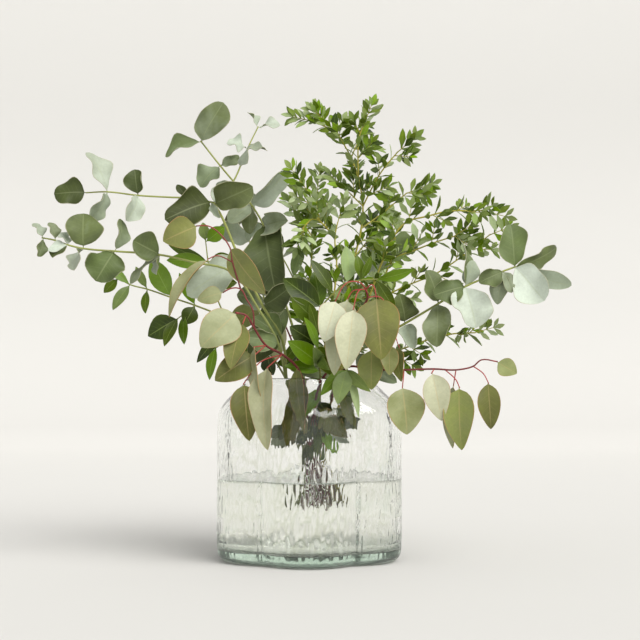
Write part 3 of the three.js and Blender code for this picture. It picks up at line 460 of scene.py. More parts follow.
# Leaves that the solids leave out for their size, by branch and twig
MORE_LEAVES = {
    ("silver_left_upper", 1): [
        small_leaf(1, 1, [-147, 409, -30], 9), small_leaf(6, 0.1, [-99, 372, -40], 9, 30),
    ],
    ("silver_left_low", 0): [
        small_leaf(6, 5, [-198, 299, -58], 14, 50), small_leaf(9, 8, [-289, 336, -70], 12, 30),
        small_leaf(5, -0.55, [-42, 122, -22], 18, 20), small_leaf(2, -0.35, [-36, 138, 10], 20, -30),
    ],
    ("silver_left_high", 0): [
        small_leaf(6, 6, [-104, 409, 34], 13), small_leaf(5, 5, [-66, 354, 44], 20, 30),
    ],
    ("silver_right", 0): [
        small_leaf(6, 6, [223, 289, -68], 15), small_leaf(3, 2, [60, 228, -44], 16, 30),
        small_leaf(7, -0.45, [42, 124, -14], 17, 20), small_leaf(3, -0.3, [50, 140, 12], 18, -30),
    ],
    ("green_left", 0): [
        small_leaf(4, 3, [-144, 311, 4], 13), small_leaf(4, 5, [-181, 266, 4], 11, 20),
        small_leaf(6, 5, [-192, 318, 8], 10), small_leaf(7, 6, [-228, 320, 2], 11, 20),
        small_leaf(3, 0.4, [-4, 246, 20], 14, 20), small_leaf(1, 0.8, [-68, 210, 26], 16, 40),
    ],
    ("green_left", 1): [small_leaf(1, 0.6, [-138, 232, 4], 12, 20)],
    ("green_left", 2): [small_leaf(3, 2, [-156, 342, 16], 11)],
    ("green_left", 3): [small_leaf(1, 0.5, [-124, 212, 8], 13)],
    ("green_centre", 0): [
        small_leaf(5, 0.9, [-6, 262, -66], 11, 30), small_leaf(4, 1.7, [30, 262, -66], 12, -20),
        small_leaf(3, 2.6, [44, 268, -60], 13, 20), small_leaf(2, 0.3, [-28, 208, -48], 16, 30),
        small_leaf(5, 0.7, [22, 204, -84], 11, 20), small_leaf(3, 0.2, [52, 172, -62], 13, 35),
        small_leaf(2, -0.1, [-8, 150, -50], 15, 20), small_leaf(4, 5, [68, 330, -66], 9, 20),
        small_leaf(1, -0.6, [-4, 100, -24], 17, 30), small_leaf(5, -0.5, [29, 112, -26], 13, -20),
        small_leaf(3, -0.45, [14, 106, -36], 12, 40), small_leaf(0, -0.3, [-14, 122, -34], 18, -30),
    ],
    ("green_centre", 1): [
        small_leaf(4, 2, [12, 176, -100], 14, 20), small_leaf(8, 2, [54, 152, -104], 9, -20),
    ],
}


# Settings


def colour(name, description, red, green, blue):
    """A colour with its default in steps of 0 to 255."""
    return FloatVectorProperty(name=name, description=description, subtype="COLOR_GAMMA", size=3, min=0,
                               max=1, default=(red / 255, green / 255, blue / 255))


def share(name, description, default):
    """A share from 0 to 1."""
    return FloatProperty(name=name, description=description, subtype="FACTOR", min=0, max=1, default=default)


def length(name, description, default):
    """A length with its default in millimetres."""
    return FloatProperty(name=name, description=description, subtype="DISTANCE", unit="LENGTH", min=0,
                         default=default * MM, precision=5)


class SilverLeafSettings(bpy.types.PropertyGroup):
    """Finish of the silver-leaved branches"""

    # Dark is painted shade: the upper side of a leaf in shade.
    dark: colour("Dark", "Upper side of an old leaf", 66, 76, 40)
    middle: colour("Middle", "Upper side under its wax", 112, 124, 84)
    pale: colour("Pale", "Waxy young leaf or underside", 216, 225, 212)
    young: colour("Young", "Bright young leaf, here and there", 128, 142, 96)
    vein: colour("Vein", "Ribs and side veins", 168, 178, 130)
    edge: colour("Edge", "Thin rim of the blade", 190, 184, 150)
    stem: colour("Stem", "Stem near the vase", 126, 136, 78)
    stalk: colour("Stalk", "Twig near its tip", 160, 166, 84)
    fresh: share("Fresh", "How far a fresh leaf goes to its bright colour", 0.3)
    veins: share("Veins", "How clearly the veins show", 0.26)
    roughness: share("Roughness", "Roughness of the blade", 0.56)


class RedLeafSettings(bpy.types.PropertyGroup):
    """Finish of the red-stalked branches"""

    dark: colour("Dark", "Upper side in shade", 86, 88, 42)
    middle: colour("Middle", "Upper side", 136, 142, 92)
    pale: colour("Pale", "Young leaf, almost cream", 216, 218, 194)
    young: colour("Young", "Bright young leaf, here and there", 158, 164, 104)
    vein: colour("Vein", "Ribs and side veins", 196, 172, 120)
    edge: colour("Edge", "Thin red-orange rim", 196, 132, 86)
    stem: colour("Stem", "Stem near the vase", 92, 36, 34)
    stalk: colour("Stalk", "Leaf stalk", 176, 66, 60)
    fresh: share("Fresh", "How far a fresh leaf goes to its bright colour", 0.5)
    veins: share("Veins", "How clearly the veins show", 0.3)
    roughness: share("Roughness", "Roughness of the blade", 0.5)


class GreenLeafSettings(bpy.types.PropertyGroup):
    """Finish of the green branches"""

    dark: colour("Dark", "Upper side in shade", 46, 60, 18)
    middle: colour("Middle", "Upper side", 92, 114, 40)
    pale: colour("Pale", "Underside", 170, 186, 142)
    young: colour("Young", "Bright young leaf, here and there", 124, 158, 44)
    vein: colour("Vein", "Ribs and side veins", 160, 180, 96)
    edge: colour("Edge", "Thin rim of the blade", 150, 160, 84)
    stem: colour("Stem", "Stem near the vase", 106, 104, 56)
    stalk: colour("Stalk", "Twig near its tip", 146, 154, 70)
    fresh: share("Fresh", "How far a fresh leaf goes to its bright colour", 0.75)
    veins: share("Veins", "How clearly the veins show", 0.4)
    roughness: share("Roughness", "Roughness of the blade", 0.38)


class SmallLeafSettings(bpy.types.PropertyGroup):
    """Finish of the small-leaved branches"""

    dark: colour("Dark", "Upper side in shade", 58, 78, 26)
    middle: colour("Middle", "Upper side", 116, 138, 58)
    pale: colour("Pale", "Underside", 186, 200, 158)
    young: colour("Young", "Bright young leaf, here and there", 144, 176, 46)
    vein: colour("Vein", "Rib", 168, 188, 104)
    edge: colour("Edge", "Thin rim of the blade", 130, 150, 70)
    stem: colour("Stem", "Stem near the vase", 126, 116, 52)
    stalk: colour("Stalk", "Twig near its tip", 186, 178, 66)
    fresh: share("Fresh", "How far a fresh leaf goes to its bright colour", 0.85)
    veins: share("Veins", "How clearly the veins show", 0.35)
    roughness: share("Roughness", "Roughness of the blade", 0.4)


class BranchSettings(bpy.types.PropertyGroup):
    """Sizes that all branches share"""

    blade: length("Blade", "Thickness of a leaf", 0.45)
    pair_gap: length("Pair gap", "From one pair of small leaves to the next along a twig", 12)
    shoot_gap: length("Shoot gap", "From one side shoot to the next along a small-leaved twig", 27)
    small_size: FloatProperty(name="Small leaf size", description="Scale of the small leaves", default=1,
                              min=0.5, max=2)


class VaseSettings(bpy.types.PropertyGroup):
    """Relief and colours of the vase and its water"""

    columns: IntProperty(name="Columns", description="Cells round the wall", default=576, min=96, max=960)
    row: length("Row", "Height of a cell of the wall", 2.3)
    relief: length("Relief", "Height of the hammered cells", 0.85)
    cell_width: length("Cell width", "Width of a hammered cell", 4.6)
    cell_height: length("Cell height", "Height of a hammered cell", 17)
    tint: colour("Tint", "Colour that thick glass takes", 156, 207, 178)
    # The valley colour is painted shade: it darkens the valleys of the relief like the dark lines that the
    # glass bends light into there.
    valley: colour("Valley", "Tint in the valleys of the relief", 176, 186, 138)
    streak: colour("Streak", "Tint of the faint streaks", 196, 226, 206)
    foot: colour("Foot", "Tint near the foot", 200, 234, 212)
    depth: FloatProperty(name="Tint depth", description="How fast the glass takes its colour, per metre",
                         default=3.2)
    water: colour("Water", "Colour that deep water takes", 232, 239, 212)


class StageSettings(bpy.types.PropertyGroup):
    """Backdrop and light"""

    backdrop: colour("Backdrop", "Floor and backdrop", 222, 221, 218)
    sky: FloatProperty(name="Sky", description="Even light from above", default=0.5, min=0)
    horizon: FloatProperty(name="Horizon", description="Light from all sides, low down", default=0.84, min=0)
    key: FloatProperty(name="Key", description="Soft sun from the upper right", default=2.7, min=0)
    softness: FloatProperty(name="Softness", description="How wide the key light looks", subtype="ANGLE",
                            unit="ROTATION", default=math.radians(48), min=0)


# Places and paths


def place(spot):
    """Across, up and behind, read along the line of sight, as a point in millimetres."""
    across, up, behind = spot
    spread = 1 + behind / EYE_DISTANCE
    return Vector((EYE_ACROSS + (across - EYE_ACROSS) * spread, behind, EYE_UP + (up - EYE_UP) * spread))


def draws(seed):
    """Draws from 0 to 1 that are the same in every run."""
    state = seed * 7919 + 1

    def draw():
        nonlocal state
        state = state * 48271 % LARGEST_DRAW
        return state / LARGEST_DRAW

    draw()
    draw()
    return draw


def span_of(path, at):
    """The span of a path that a place along it falls in."""
    return min(max(math.floor(at), 0), len(path) - 2)


def along_path(path, at):
    """A point on the straight lines through the path's points."""
    i = span_of(path, at)
    return path[i].lerp(path[i + 1], at - i)


def root_at(path, at):
    """Where something grows from: what grows on from the end starts sunk inside it."""
    last = len(path) - 1
    return along_path(path, at if at < last else last - SINK / (path[last] - path[last - 1]).length)


def slope(path, i):
    """The direction of the smooth path at one of its points."""
    back = (path[i] - path[i - 1]).normalized() if i > 0 else Vector()
    ahead = (path[i + 1] - path[i]).normalized() if i < len(path) - 1 else Vector()
    return (back + ahead).normalized()


def smooth_at(path, at):
    """A point on the smooth line through the path's points."""
    i = span_of(path, at)
    t = at - i
    a, b = path[i], path[i + 1]
    reach = (b - a).length
    start, end = slope(path, i) * reach, slope(path, i + 1) * reach
    return (a * (2 * t**3 - 3 * t**2 + 1) + start * (t**3 - 2 * t**2 + t)
            + b * (3 * t**2 - 2 * t**3) + end * (t**3 - t**2))


def evenly(path, first, every):
    """Points spaced evenly along a path, from its point `first` on."""
    spots = []
    if first >= len(path) - 1:
        return spots
    low = math.floor(first)
    run = (first % 1) * (path[low + 1] - path[low]).length
    for i in range(low, len(path) - 1):
        reach = (path[i + 1] - path[i]).length
        while run < reach:
            spots.append(i + run / reach)
            run += every
        run -= reach
    return spots


def heading(path, at):
    """The direction of the smooth line at a place along it."""
    ahead = smooth_at(path, min(at + 0.1, len(path) - 1))
    return (ahead - smooth_at(path, max(at - 0.1, 0))).normalized()


def turned(vector, axis, degrees):
    """A vector turned about an axis."""
    return Matrix.Rotation(math.radians(degrees), 3, axis) @ vector


def around(forward, degrees):
    """A direction square to `forward`, so many degrees round it."""
    return turned(SIDEWAYS.cross(forward).normalized(), forward, degrees)


def leaning(forward, out, angle):
    """A direction that leans out from `forward` by an angle in radians."""
    return forward * math.cos(angle) + out * math.sin(angle)


def facing_of(root, tip, turn):
    """The facing of a leaf seen square on from the front, turned about its rib."""
    along = (tip - root).normalized()
    front = Vector((0, -1, 0))
    return turned((front - along * front.dot(along)).normalized(), along, turn)


def smoothstep(x, low, high):
    """Rises smoothly from 0 at `low` to 1 at `high`."""
    t = min(max((x - low) / (high - low), 0), 1)
    return t * t * (3 - 2 * t)


# Leaves and rods


def half_section(half, bend, curl, cell, steps):
    """How far out and up a half blade has come after so many cells, folded at the rib and curled."""
    out = rise = 0
    for step in range(steps):
        angle = bend + curl * max((step + 0.5) * cell - CURL_FROM, 0) / (1 - CURL_FROM)
        out += half * cell * math.cos(angle)
        rise += half * cell * math.sin(angle)
    return out, rise


class Sprig:
    """A branch in the making: its leaves and its rods, with the marks that their materials read.
    "look" holds the tone and a chance value, and "spot" the place across and along a leaf."""

    def __init__(self, kind):
        self.kind = kind
        self.blades = bmesh.new()
        self.rods = bmesh.new()
        for mesh in (self.blades, self.rods):
            mesh.verts.layers.float_vector.new("look")
            mesh.verts.layers.float_vector.new("spot")

    def leaf(self, root, tip, facing, width, fold, tone, draw, edges=()):
        """One blade: a grid shaped to the outline, folded along its rib, curled, bowed, waved and twisted."""
        form = LEAF[self.kind]
        along = tip - root
        reach = along.length
        along.normalize()
        up = (facing - along * facing.dot(along)).normalized()
        side = along.cross(up)
        across, rows = form["cells"]
        bend = math.radians(max(fold, FOLD + FOLD_MORE * draw()))
        twist = math.radians(form["twist"]) * (2 * draw() - 1)
        wave = form["wave"] * min(reach, width) * (0.5 + draw())
        phase = FULL_WAVE * draw()
        skew = 3.1 * draw()
        waves = 1.1 + 0.9 * draw()
        by_chance = [form["curl"] * draw() ** 1.5 * (1 if draw() < CURL_UP_SHARE else CURL_DOWN)
                     for _ in (0, 1)]
        curls = [math.radians(curl) for curl in edges or by_chance]
        chance = draw()
        neck = min(NECK, NECK_SHARE * reach)
        look = self.blades.verts.layers.float_vector["look"]
        spot = self.blades.verts.layers.float_vector["spot"]
        grid = bmesh.ops.create_grid(self.blades, x_segments=across, y_segments=rows, size=1)
        cell = 2 / across
        for vert in grid["verts"]:
            u, t = vert.co.x, (vert.co.y + 1) / 2
            t = ROWS_EVEN * t + ROWS_CROWDED * (1 - math.cos(math.pi * t)) / 2
            s = max((t * reach - neck) / (reach - neck), 0)
            outline = math.sin(math.pi * min(s, 1) ** form["widest"]) ** form["blunt"] if 0 < s < 1 else 0
            uneven = 1 + form["wave"] * UNEVEN * math.sin(5 * t + phase + (2 + skew if u > 0 else 0))
            half = max(width / 2 * outline * uneven, NECK_HALF if t < 0.5 else TIP_HALF)
            middle = math.sin(math.pi * t)
            curl = curls[u > 0] * middle * (0.7 + 0.3 * math.sin(phase + 4 * t))
            x, z = half_section(half, bend, curl, cell, round(abs(u) / cell))
            x = math.copysign(x, u)
            ripple = wave * u * u * math.sin(FULL_WAVE * waves * t + phase + (skew if u > 0 else 0)) * middle
            z += form["bow"] * reach * 4 * t * (1 - t) + ripple
            swing = twist * (t - TWIST_FROM)
            vert.co = (root + along * (t * reach) + side * (x * math.cos(swing) - z * math.sin(swing))
                       + up * (x * math.sin(swing) + z * math.cos(swing)))
            vert[look] = (tone, chance, 0)
            vert[spot] = (u, t, 0)

    def rod(self, points, radii, tones, sides=TWIG_SIDES):
        """A round, tapered rod through points, closed at both ends."""
        curve = bpy.data.curves.new("rod", "CURVE")
        curve.dimensions = "3D"
        curve.bevel_depth = 1
        curve.bevel_resolution = sides // 2 - 2
        curve.use_fill_caps = True
        spline = curve.splines.new("POLY")
        spline.points.add(len(points) - 1)
        for knot, point, radius in zip(spline.points, points, radii):
            knot.co = (*point, 1)
            knot.radius = radius
        holder = bpy.data.objects.new("rod", curve)
        mesh = bpy.data.meshes.new_from_object(holder)
        first = len(self.rods.verts)
        self.rods.from_mesh(mesh)
        self.rods.verts.ensure_lookup_table()
        made = self.rods.verts[first:]
        look = self.rods.verts.layers.float_vector["look"]
        ring = len(mesh.vertices) // (len(points) + 2)
        for i, vert in enumerate(made):
            level = i // ring
            if level >= len(points):
                level = 0 if level == len(points) else len(points) - 1
            vert[look] = (tones[0] + (tones[1] - tones[0]) * level / (len(points) - 1), 0, 0)
        bmesh.ops.remove_doubles(self.rods, verts=made, dist=0.001)
        bpy.data.objects.remove(holder)
        bpy.data.curves.remove(curve)
        bpy.data.meshes.remove(mesh)

    def stick(self, path, thick, tones, sides=TWIG_SIDES):
        """A smooth stem or twig through the points of a path."""
        last = len(path) - 1
        count = last * SPAN_POINTS
        points = [smooth_at(path, last * i / count) for i in range(count + 1)]
        radii = [thick[0] + (thick[1] - thick[0]) * i / count for i in range(count + 1)]
        self.rod(points, radii, tones, sides)

    def finish(self, name, thickness, materials):
        """Gives the blades their thickness and turns the branch into one object."""
        blades = self.blades
        blades.normal_update()
        upper = len(blades.verts)
        bmesh.ops.solidify(blades, geom=blades.faces[:], thickness=thickness)
        look = blades.verts.layers.float_vector["look"]
        blades.verts.ensure_lookup_table()
        for vert in blades.verts[upper:]:
            tone, chance, _ = vert[look]
            vert[look] = (tone + UNDERSIDE if tone < 0.5 else tone - UNDERSIDE, chance, 0)
        blades.normal_update()
        for edge in blades.edges:
            edge.smooth = not edge.is_manifold or edge.calc_face_angle() < SHARP
        rest = bpy.data.meshes.new(name)
        self.rods.to_mesh(rest)
        first = len(blades.faces)
        blades.from_mesh(rest)
        blades.faces.ensure_lookup_table()
        for face in blades.faces[first:]:
            face.material_index = 1
        for face in blades.faces:
            face.smooth = True
        bmesh.ops.scale(blades, vec=(MM, MM, MM), verts=blades.verts)
        bpy.data.meshes.remove(rest)
        self.rods.free()
        return object_from(name, blades, materials)


def object_from(name, shape, materials):
    """An object at the origin from a finished bmesh."""
    mesh = bpy.data.meshes.new(name)
    shape.to_mesh(mesh)
    shape.free()
    for material in materials:
        mesh.materials.append(material)
    made = bpy.data.objects.new(name, mesh)
    bpy.context.scene.collection.objects.link(made)
    return made


# Branches


class Corners:
    """Finds which of a leaf's possible places the frame's solid has taken, by its tip's corners."""

    def __init__(self, node):
        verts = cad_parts[node].data.vertices
        self.tree = kdtree.KDTree(len(verts))
        for i, vert in enumerate(verts):
            self.tree.insert(vert.co / MM, i)
        self.tree.balance()

    def has(self, tip, facing, lift=BLADE / 2):
        """Whether the solid has a blade's two tip corners, above and below this point."""
        return all(self.tree.find(tip + facing * way)[2] < CORNER_GAP for way in (lift, -lift))


def stem_path(branch, index):
    """The way of a stem: from its foot through the waist of the bunch and the mouth to its own points."""
    x, y = branch["stand"]
    cx, cy = BUNCH_CENTRE
    levels = [(FOOT_SPREAD, FOOT_HEIGHT + index % 2 * FOOT_STEP), (WAIST_SPREAD, WAIST_HEIGHT),
              (MOUTH_SPREAD, STEM_HEIGHT)]
    return [Vector((cx + x * spread, cy + y * spread, height)) for spread, height in levels]


def grow_leaf(sprig, corners, path, at, row, draw):
    """A leaf of the table, on its own stalk where it has one, in the place that the frame gives it."""
    root = root_at(path, at)
    stalk = [root] + [place(p) for p in row["stalk"]]
    if row["stalk"]:
        sprig.stick([smooth_at(path, at)] + stalk[1:], STALK_THICK, STALK_TONES)
    begin = root_at(stalk, len(stalk) - 1) if row["stalk"] else root
    lift = BLADE / 2 / math.cos(math.radians(row["fold"]))
    across, up, behind = row["tip"]
    for turn, back in DODGES:
        tip = place((across, up, behind + back))
        facing = facing_of(begin, tip, row["turn"] + turn)
        if row["extra"] or corners.has(tip, facing, lift):
            sprig.leaf(begin, tip, facing, row["width"], row["fold"], row["tone"], draw, row["edges"])
            return


def grow_pairs(sprig, corners, path, first, pairs, seed):
    """Leaves in pairs at the points of a stem, each pair about a quarter turned from the last."""
    reach, width, skip = pairs
    for i in range(first + skip, len(path)):
        draw = draws(seed * 100 + i)
        forward = (path[i] - path[i - 1]).normalized()
        level = Vector((0, 0, 1)).cross(forward).normalized()
        quarter = i % 2 * 90 + 30 * (draw() - 0.5)
        root = root_at(path, i)
        for half in (0, 180):
            out = turned(level, forward, quarter + half)
            lean = math.radians(62 + 20 * (draw() - 0.5))
            scale = 0.85 + 0.3 * draw()
            for turn, back in DODGES:
                aim = turned(leaning(forward, out, lean), forward, back * 2)
                tip = path[i] + aim * reach * scale
                along = (tip - root).normalized()
                facing = turned(forward, aim, turn)
                up = (facing - along * facing.dot(along)).normalized()
                if corners.has(tip, up):
                    local = draws(seed * 1000 + i * 10 + half // 90)
                    tone = 0.15 + 0.6 * local()
                    sprig.leaf(root, tip, facing, width * scale, 0, tone, local)
                    break


def shoot_length(pairs):
    """Length of a side shoot with so many pairs of leaves, at full size."""
    return SHOOT["first"] + SHOOT["step"] * pairs + SHOOT["leaf"]


def small_width(reach, draw):
    """Width of a small leaf for its length."""
    return reach * (0.34 + 0.1 * draw())


def leafy_shoot(sprig, root, tip, facing, pairs, draw, crossed):
    """A shoot with pairs of leaves and a leaf at its end. Where it is crossed, more pairs stand between
    these, a quarter turned from them."""
    reach = (tip - root).length
    aim = (tip - root).normalized()
    side = aim.cross(facing).normalized()
    size = reach / shoot_length(pairs)
    top = root + aim * (reach - SHOOT["leaf"] * size)
    sprig.rod([root, root.lerp(top, 0.5), top], SHOOT_THICK, STALK_TONES)
    spread = math.radians(SHOOT["spread"])
    tone = 0.25 + 0.5 * draw()

    def pair(number, out, up, scale):
        swing = 90 * (draw() - 0.5)
        out, up = turned(out, aim, swing), turned(up, aim, swing)
        base = root + aim * ((SHOOT["first"] + SHOOT["step"] * number) * size)
        for way in (1, -1):
            lean = spread + 0.3 * (draw() - 0.5)
            long = LONGER * SHOOT["leaf"] * size * scale * (0.85 + 0.3 * draw())
            end = base + leaning(aim, out * way, lean) * long
            face = turned(up, out * way, 40 * (draw() - 0.5))
            wide = small_width(long, draw)
            shade = min(max(tone + 0.9 * (draw() - 0.5), 0), 1)
            sprig.leaf(base, end, face, wide, 0, shade, draw)

    for i in range(pairs):
        pair(i, side, facing, 1)
        if crossed:
            pair(i + 0.5, facing, facing - aim * 0.6, 0.85)
    pair(pairs, side, facing, 0.75)
    face = turned(facing, aim, 30 * (draw() - 0.5))
    sprig.leaf(top, tip, face, 0.95 * SHOOT["width"] * size, 0, min(tone + 0.2, 1), draw)


def grow_shoots(sprig, corners, path, first, tip, seed, crossed):
    """The shoots that the frame has, along a small-leaved stem or twig and at its end."""
    taken = []
    for count, at in enumerate(evenly(path, first, SHOOT["every"])):
        draw = draws(seed * 100 + count)
        turn = count * SHOOT["turn"] + 30 * draw()
        lean = SHOOT["lean"] + 16 * (draw() - 0.5)
        size = 0.8 + 0.3 * draw()
        roll = 120 * (draw() - 0.5)
        root = along_path(path, at)
        forward = (along_path(path, at + 0.1) - along_path(path, at - 0.1)).normalized()
        for more, less in SHOOT_DODGES:
            aim = leaning(forward, around(forward, turn + more), math.radians(lean - less))
            end = root + aim * shoot_length(SHOOT["pairs"]) * size
            facing = facing_of(root, end, roll)
            if corners.has(end, facing):
                leafy_shoot(sprig, root, end, facing, SHOOT["pairs"], draws(seed * 1000 + count), crossed)
                taken.append(at)
                break
    root = root_at(path, len(path) - 1) if len(path) > 1 else path[0]
    pairs = max(1, math.floor(((root - tip).length - shoot_length(0)) / SHOOT["step"] + 0.5))
    for roll in ROLLS:
        facing = facing_of(root, tip, roll)
        if corners.has(tip, facing):
            leafy_shoot(sprig, root, tip, facing, pairs, draws(seed * 1000 + 77), crossed)
            break
    return taken


def dress_pairs(sprig, path, first, seed, settings):
    """More leaves in pairs along a small-leaved twig, each pair a quarter turned from the last."""
    for count, at in enumerate(evenly(path, first, settings.pair_gap / MM)):
        draw = draws(seed * 3000 + count)
        root = smooth_at(path, at)
        forward = heading(path, at)
        for half in (0, 180):
            out = around(forward, count * 90 + half + 40 * (draw() - 0.5))
            lean = math.radians(55 + 24 * (draw() - 0.5))
            aim = leaning(forward, out, lean)
            reach = settings.small_size * (15 + 7 * draw())
            facing = turned(forward, aim, 50 * (draw() - 0.5))
            width = small_width(reach, draw)
            tone = 0.15 + 0.75 * draw()
            sprig.leaf(root, root + aim * reach, facing, width, 0, tone, draw)


def dress_shoots(sprig, path, first, taken, seed, settings, crossed):
    """More side shoots along a small-leaved twig, between the frame's own."""
    for count, at in enumerate(evenly(path, first, settings.shoot_gap / MM)):
        draw = draws(seed * 5000 + count)
        if any(abs(at - other) < TOO_NEAR for other in taken):
            continue
        root = smooth_at(path, at)
        forward = heading(path, at)
        out = around(forward, 60 + count * SHOOT["turn"] + 40 * draw())
        lean = math.radians(40 + 20 * draw())
        pairs = 1 if draw() < ONE_PAIR_SHARE else 2
        end = root + leaning(forward, out, lean) * shoot_length(pairs) * (0.75 + 0.3 * draw())
        facing = facing_of(root, end, 100 * (draw() - 0.5))
        leafy_shoot(sprig, root, end, facing, pairs, draw, crossed)


def grow_branch(name, materials, settings):
    """One branch of the frame, made again with finer leaves and smooth stems."""
    branch = BRANCHES[name]
    index = list(BRANCHES).index(name)
    small = branch["kind"] == "small"
    crossed = "right" not in name
    sprig = Sprig(branch["kind"])
    corners = Corners(name)
    paths = []
    starts = []
    for i, row in enumerate(branch["twigs"]):
        is_stem = row["on"] < 0
        # A stem's foot and waist come before its point 0
        first = 2 if is_stem else 0
        if is_stem:
            path = stem_path(branch, index)
        else:
            path = [along_path(paths[row["on"]], starts[row["on"]] + row["at"])]
        path += [place(p) for p in row["through"]]
        tip = path.pop() if small else None
        paths.append(path)
        starts.append(first)
        foot, top = row["thick"]
        if len(path) > 1:
            sprig.stick(path, (foot, top * SLENDER if small else top), TWIG_TONES[branch["kind"], is_stem],
                        STEM_SIDES if is_stem else TWIG_SIDES)
        for count, leaf_row in enumerate([*row["leaves"], *MORE_LEAVES.get((name, i), [])]):
            draw = draws(index * 1000 + i * 100 + count + 7)
            grow_leaf(sprig, corners, path, first + leaf_row["at"], leaf_row, draw)
        if "pairs" in branch:
            grow_pairs(sprig, corners, path, first, branch["pairs"], index)
        if small:
            seed = index * 20 + i
            taken = grow_shoots(sprig, corners, path, first + row["shoots_from"], tip, seed, crossed)
            if len(path) > 1:
                start = first + min(row["shoots_from"], DRESSED_FROM)
                dress_pairs(sprig, path, start, seed, settings)
                dress_shoots(sprig, path, start, taken, seed, settings, crossed)
    piece = sprig.finish(name + "_branch", settings.blade / MM, materials)
    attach(piece, "root")
    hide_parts(name)
    return piece


# Vase and water


def lobe(angle, height):
    """The factor by which the lobes widen or narrow a ring at this height, with rounded creases."""
    span = 2 * math.pi / LOBES
    off = abs(angle - span * round(angle / span))
    off = span / 2 - math.hypot(span / 2 - off, math.radians(CREASE))
    reach = LOBE_CENTRE * math.cos(off) + math.sqrt(LOBE_RADIUS**2 - (LOBE_CENTRE * math.sin(off)) ** 2)
    part = 1 - smoothstep(height, WALL_HIGH, MOUTH_HEIGHT)
    return 1 + part * (reach / BODY_RADIUS - 1)


def hammered(angle, height, settings):
    """Height of the hammered relief, tall rounded cells with narrow valleys, and how deep in a valley."""
    round_wall = Vector((BODY_RADIUS * math.sin(angle), -BODY_RADIUS * math.cos(angle), 0))
    at = round_wall / (settings.cell_width / MM)
    at.z = height / (settings.cell_height / MM)
    spot = at * WANDER
    at += WANDER * Vector([noise.noise(spot + Vector((23 * i, 7 * i, 0))) for i in range(3)])
    near = noise.voronoi(at)[0]
    to_valley = near[1] - near[0]
    fade = smoothstep(height, *RELIEF_LOW) * (1 - smoothstep(height, *RELIEF_HIGH))
    drift = noise.noise(Vector((math.sin(angle), math.cos(angle), 0.3)) * 2.2)
    plain = PLAINEST + (1 - PLAINEST) * smoothstep(math.cos(3 * angle) + drift, *PLAIN_SWING)
    calm = 1 - CALMER * smoothstep(height, *RELIEF_CALM)
    dome = smoothstep(to_valley, 0, DOME_RISE) - DOME_MIDDLE
    valley = (1 - smoothstep(to_valley, *VALLEY_FADE)) * fade * plain
    return dome * settings.relief / MM * fade * plain * calm, valley


def no_relief(angle, height, radius):
    """A plain wall: nothing added and no valley."""
    return 0, 0


def lobed_shape(profile, columns, relief):
    """A profile spun round the axis, then pushed out to the lobes. `relief` is added to the wall."""
    shape = bmesh.new()
    valley = shape.verts.layers.float.new("valley")
    verts = [shape.verts.new((radius, 0, height)) for radius, height in profile]
    edges = [shape.edges.new(pair) for pair in zip(verts, verts[1:])]
    bmesh.ops.spin(shape, geom=verts + edges, cent=(0, 0, 0), axis=(0, 0, 1), angle=2 * math.pi,
                   steps=columns, use_merge=True, use_duplicate=False)
    bmesh.ops.remove_doubles(shape, verts=shape.verts, dist=0.001)
    for vert in shape.verts:
        radius = math.hypot(vert.co.x, vert.co.y)
        if radius < 0.01:
            continue
        angle = math.atan2(vert.co.x, -vert.co.y)
        rise, vert[valley] = relief(angle, vert.co.z, radius)
        factor = lobe(angle, vert.co.z) * (1 + rise / radius)
        vert.co.x *= factor
        vert.co.y *= factor
    bmesh.ops.recalc_face_normals(shape, faces=shape.faces)
    for face in shape.faces:
        face.smooth = True
    bmesh.ops.scale(shape, vec=(MM, MM, MM), verts=shape.verts)
    return shape


def smooth_profile(points, step):
    """Points about `step` apart on the smooth line through points that are out and up."""
    path = [Vector((radius, 0, height)) for radius, height in points]
    made = [path[0]]
    for i in range(len(path) - 1):
        count = max(1, round((path[i + 1] - path[i]).length / step))
        made += [smooth_at(path, i + k / count) for k in range(1, count + 1)]
    return [(max(p.x, 0), p.z) for p in made]


def make_vase(settings, glass):
    """The vase: foot, outer wall and shoulder, rounded lip, inner wall and floor in one profile."""
    foot = [(0, 0), (40, 0), (80, 0), (88.5, 0.1)]
    outside = [(88.5, 0.1), (94, 1.6), (97.6, 5.2), (99.4, 12), (100, 24), (100, 60), (100, 100), (100, 140),
               (99.6, WALL_HIGH), (97.5, 162), (91, 171.5), (82, 180), (75, 186.4)]
    lip = [(72.4, 189.5), (71.2, 192), (70.4, 193.6), (69.4, 194.4), (68.2, 194.4), (67.3, 193.4),
           (67.2, 191.5)]
    inside = [(69.5, 187.5), (79, 177.5), (88, 169), (93.6, 160.5), (95.6, 150), (96, 138), (96, 100),
              (96, 60), (96, 26), (94.4, 18), (88, 12.6)]
    floor = [(70, FLOOR_HEIGHT), (35, FLOOR_HEIGHT), (0, FLOOR_HEIGHT)]

    def relief(angle, height, radius):
        on_wall = radius > WALL_OUTSIDE
        on_shoulder = height > SHOULDER_HEIGHT and radius > MOUTH_RADIUS
        if height > RELIEF_LOW[0] and (on_wall or on_shoulder):
            return hammered(angle, height, settings)
        return no_relief(angle, height, radius)

    profile = (foot + smooth_profile(outside, settings.row / MM)[1:] + lip
               + smooth_profile(inside, INNER_STEP) + floor)
    shape = lobed_shape(profile, settings.columns, relief)
    piece = object_from("glass_vase", shape, [glass])
    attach(piece, "root")
    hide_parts("vase")
    return piece


def make_water(settings, water):
    """The water. It runs a little into the glass, so that light bends there as from water to glass, and
    is drawn up where it meets the wall."""
    top = WATER_HEIGHT
    profile = [(0, 11.8), (60, 11.8), (88.2, 12.3), (94.7, 17.8), (96.3, 26), (96.3, 50), (96.3, top - 3),
               (96.3, top + 0.5), (95.2, top + 0.2), (93.6, top), (80, top), (40, top), (0, top)]
    shape = lobed_shape(profile, settings.columns // 2, no_relief)
    piece = object_from("clear_water", shape, [water])
    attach(piece, "root")
    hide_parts("water")
    return piece


# Materials


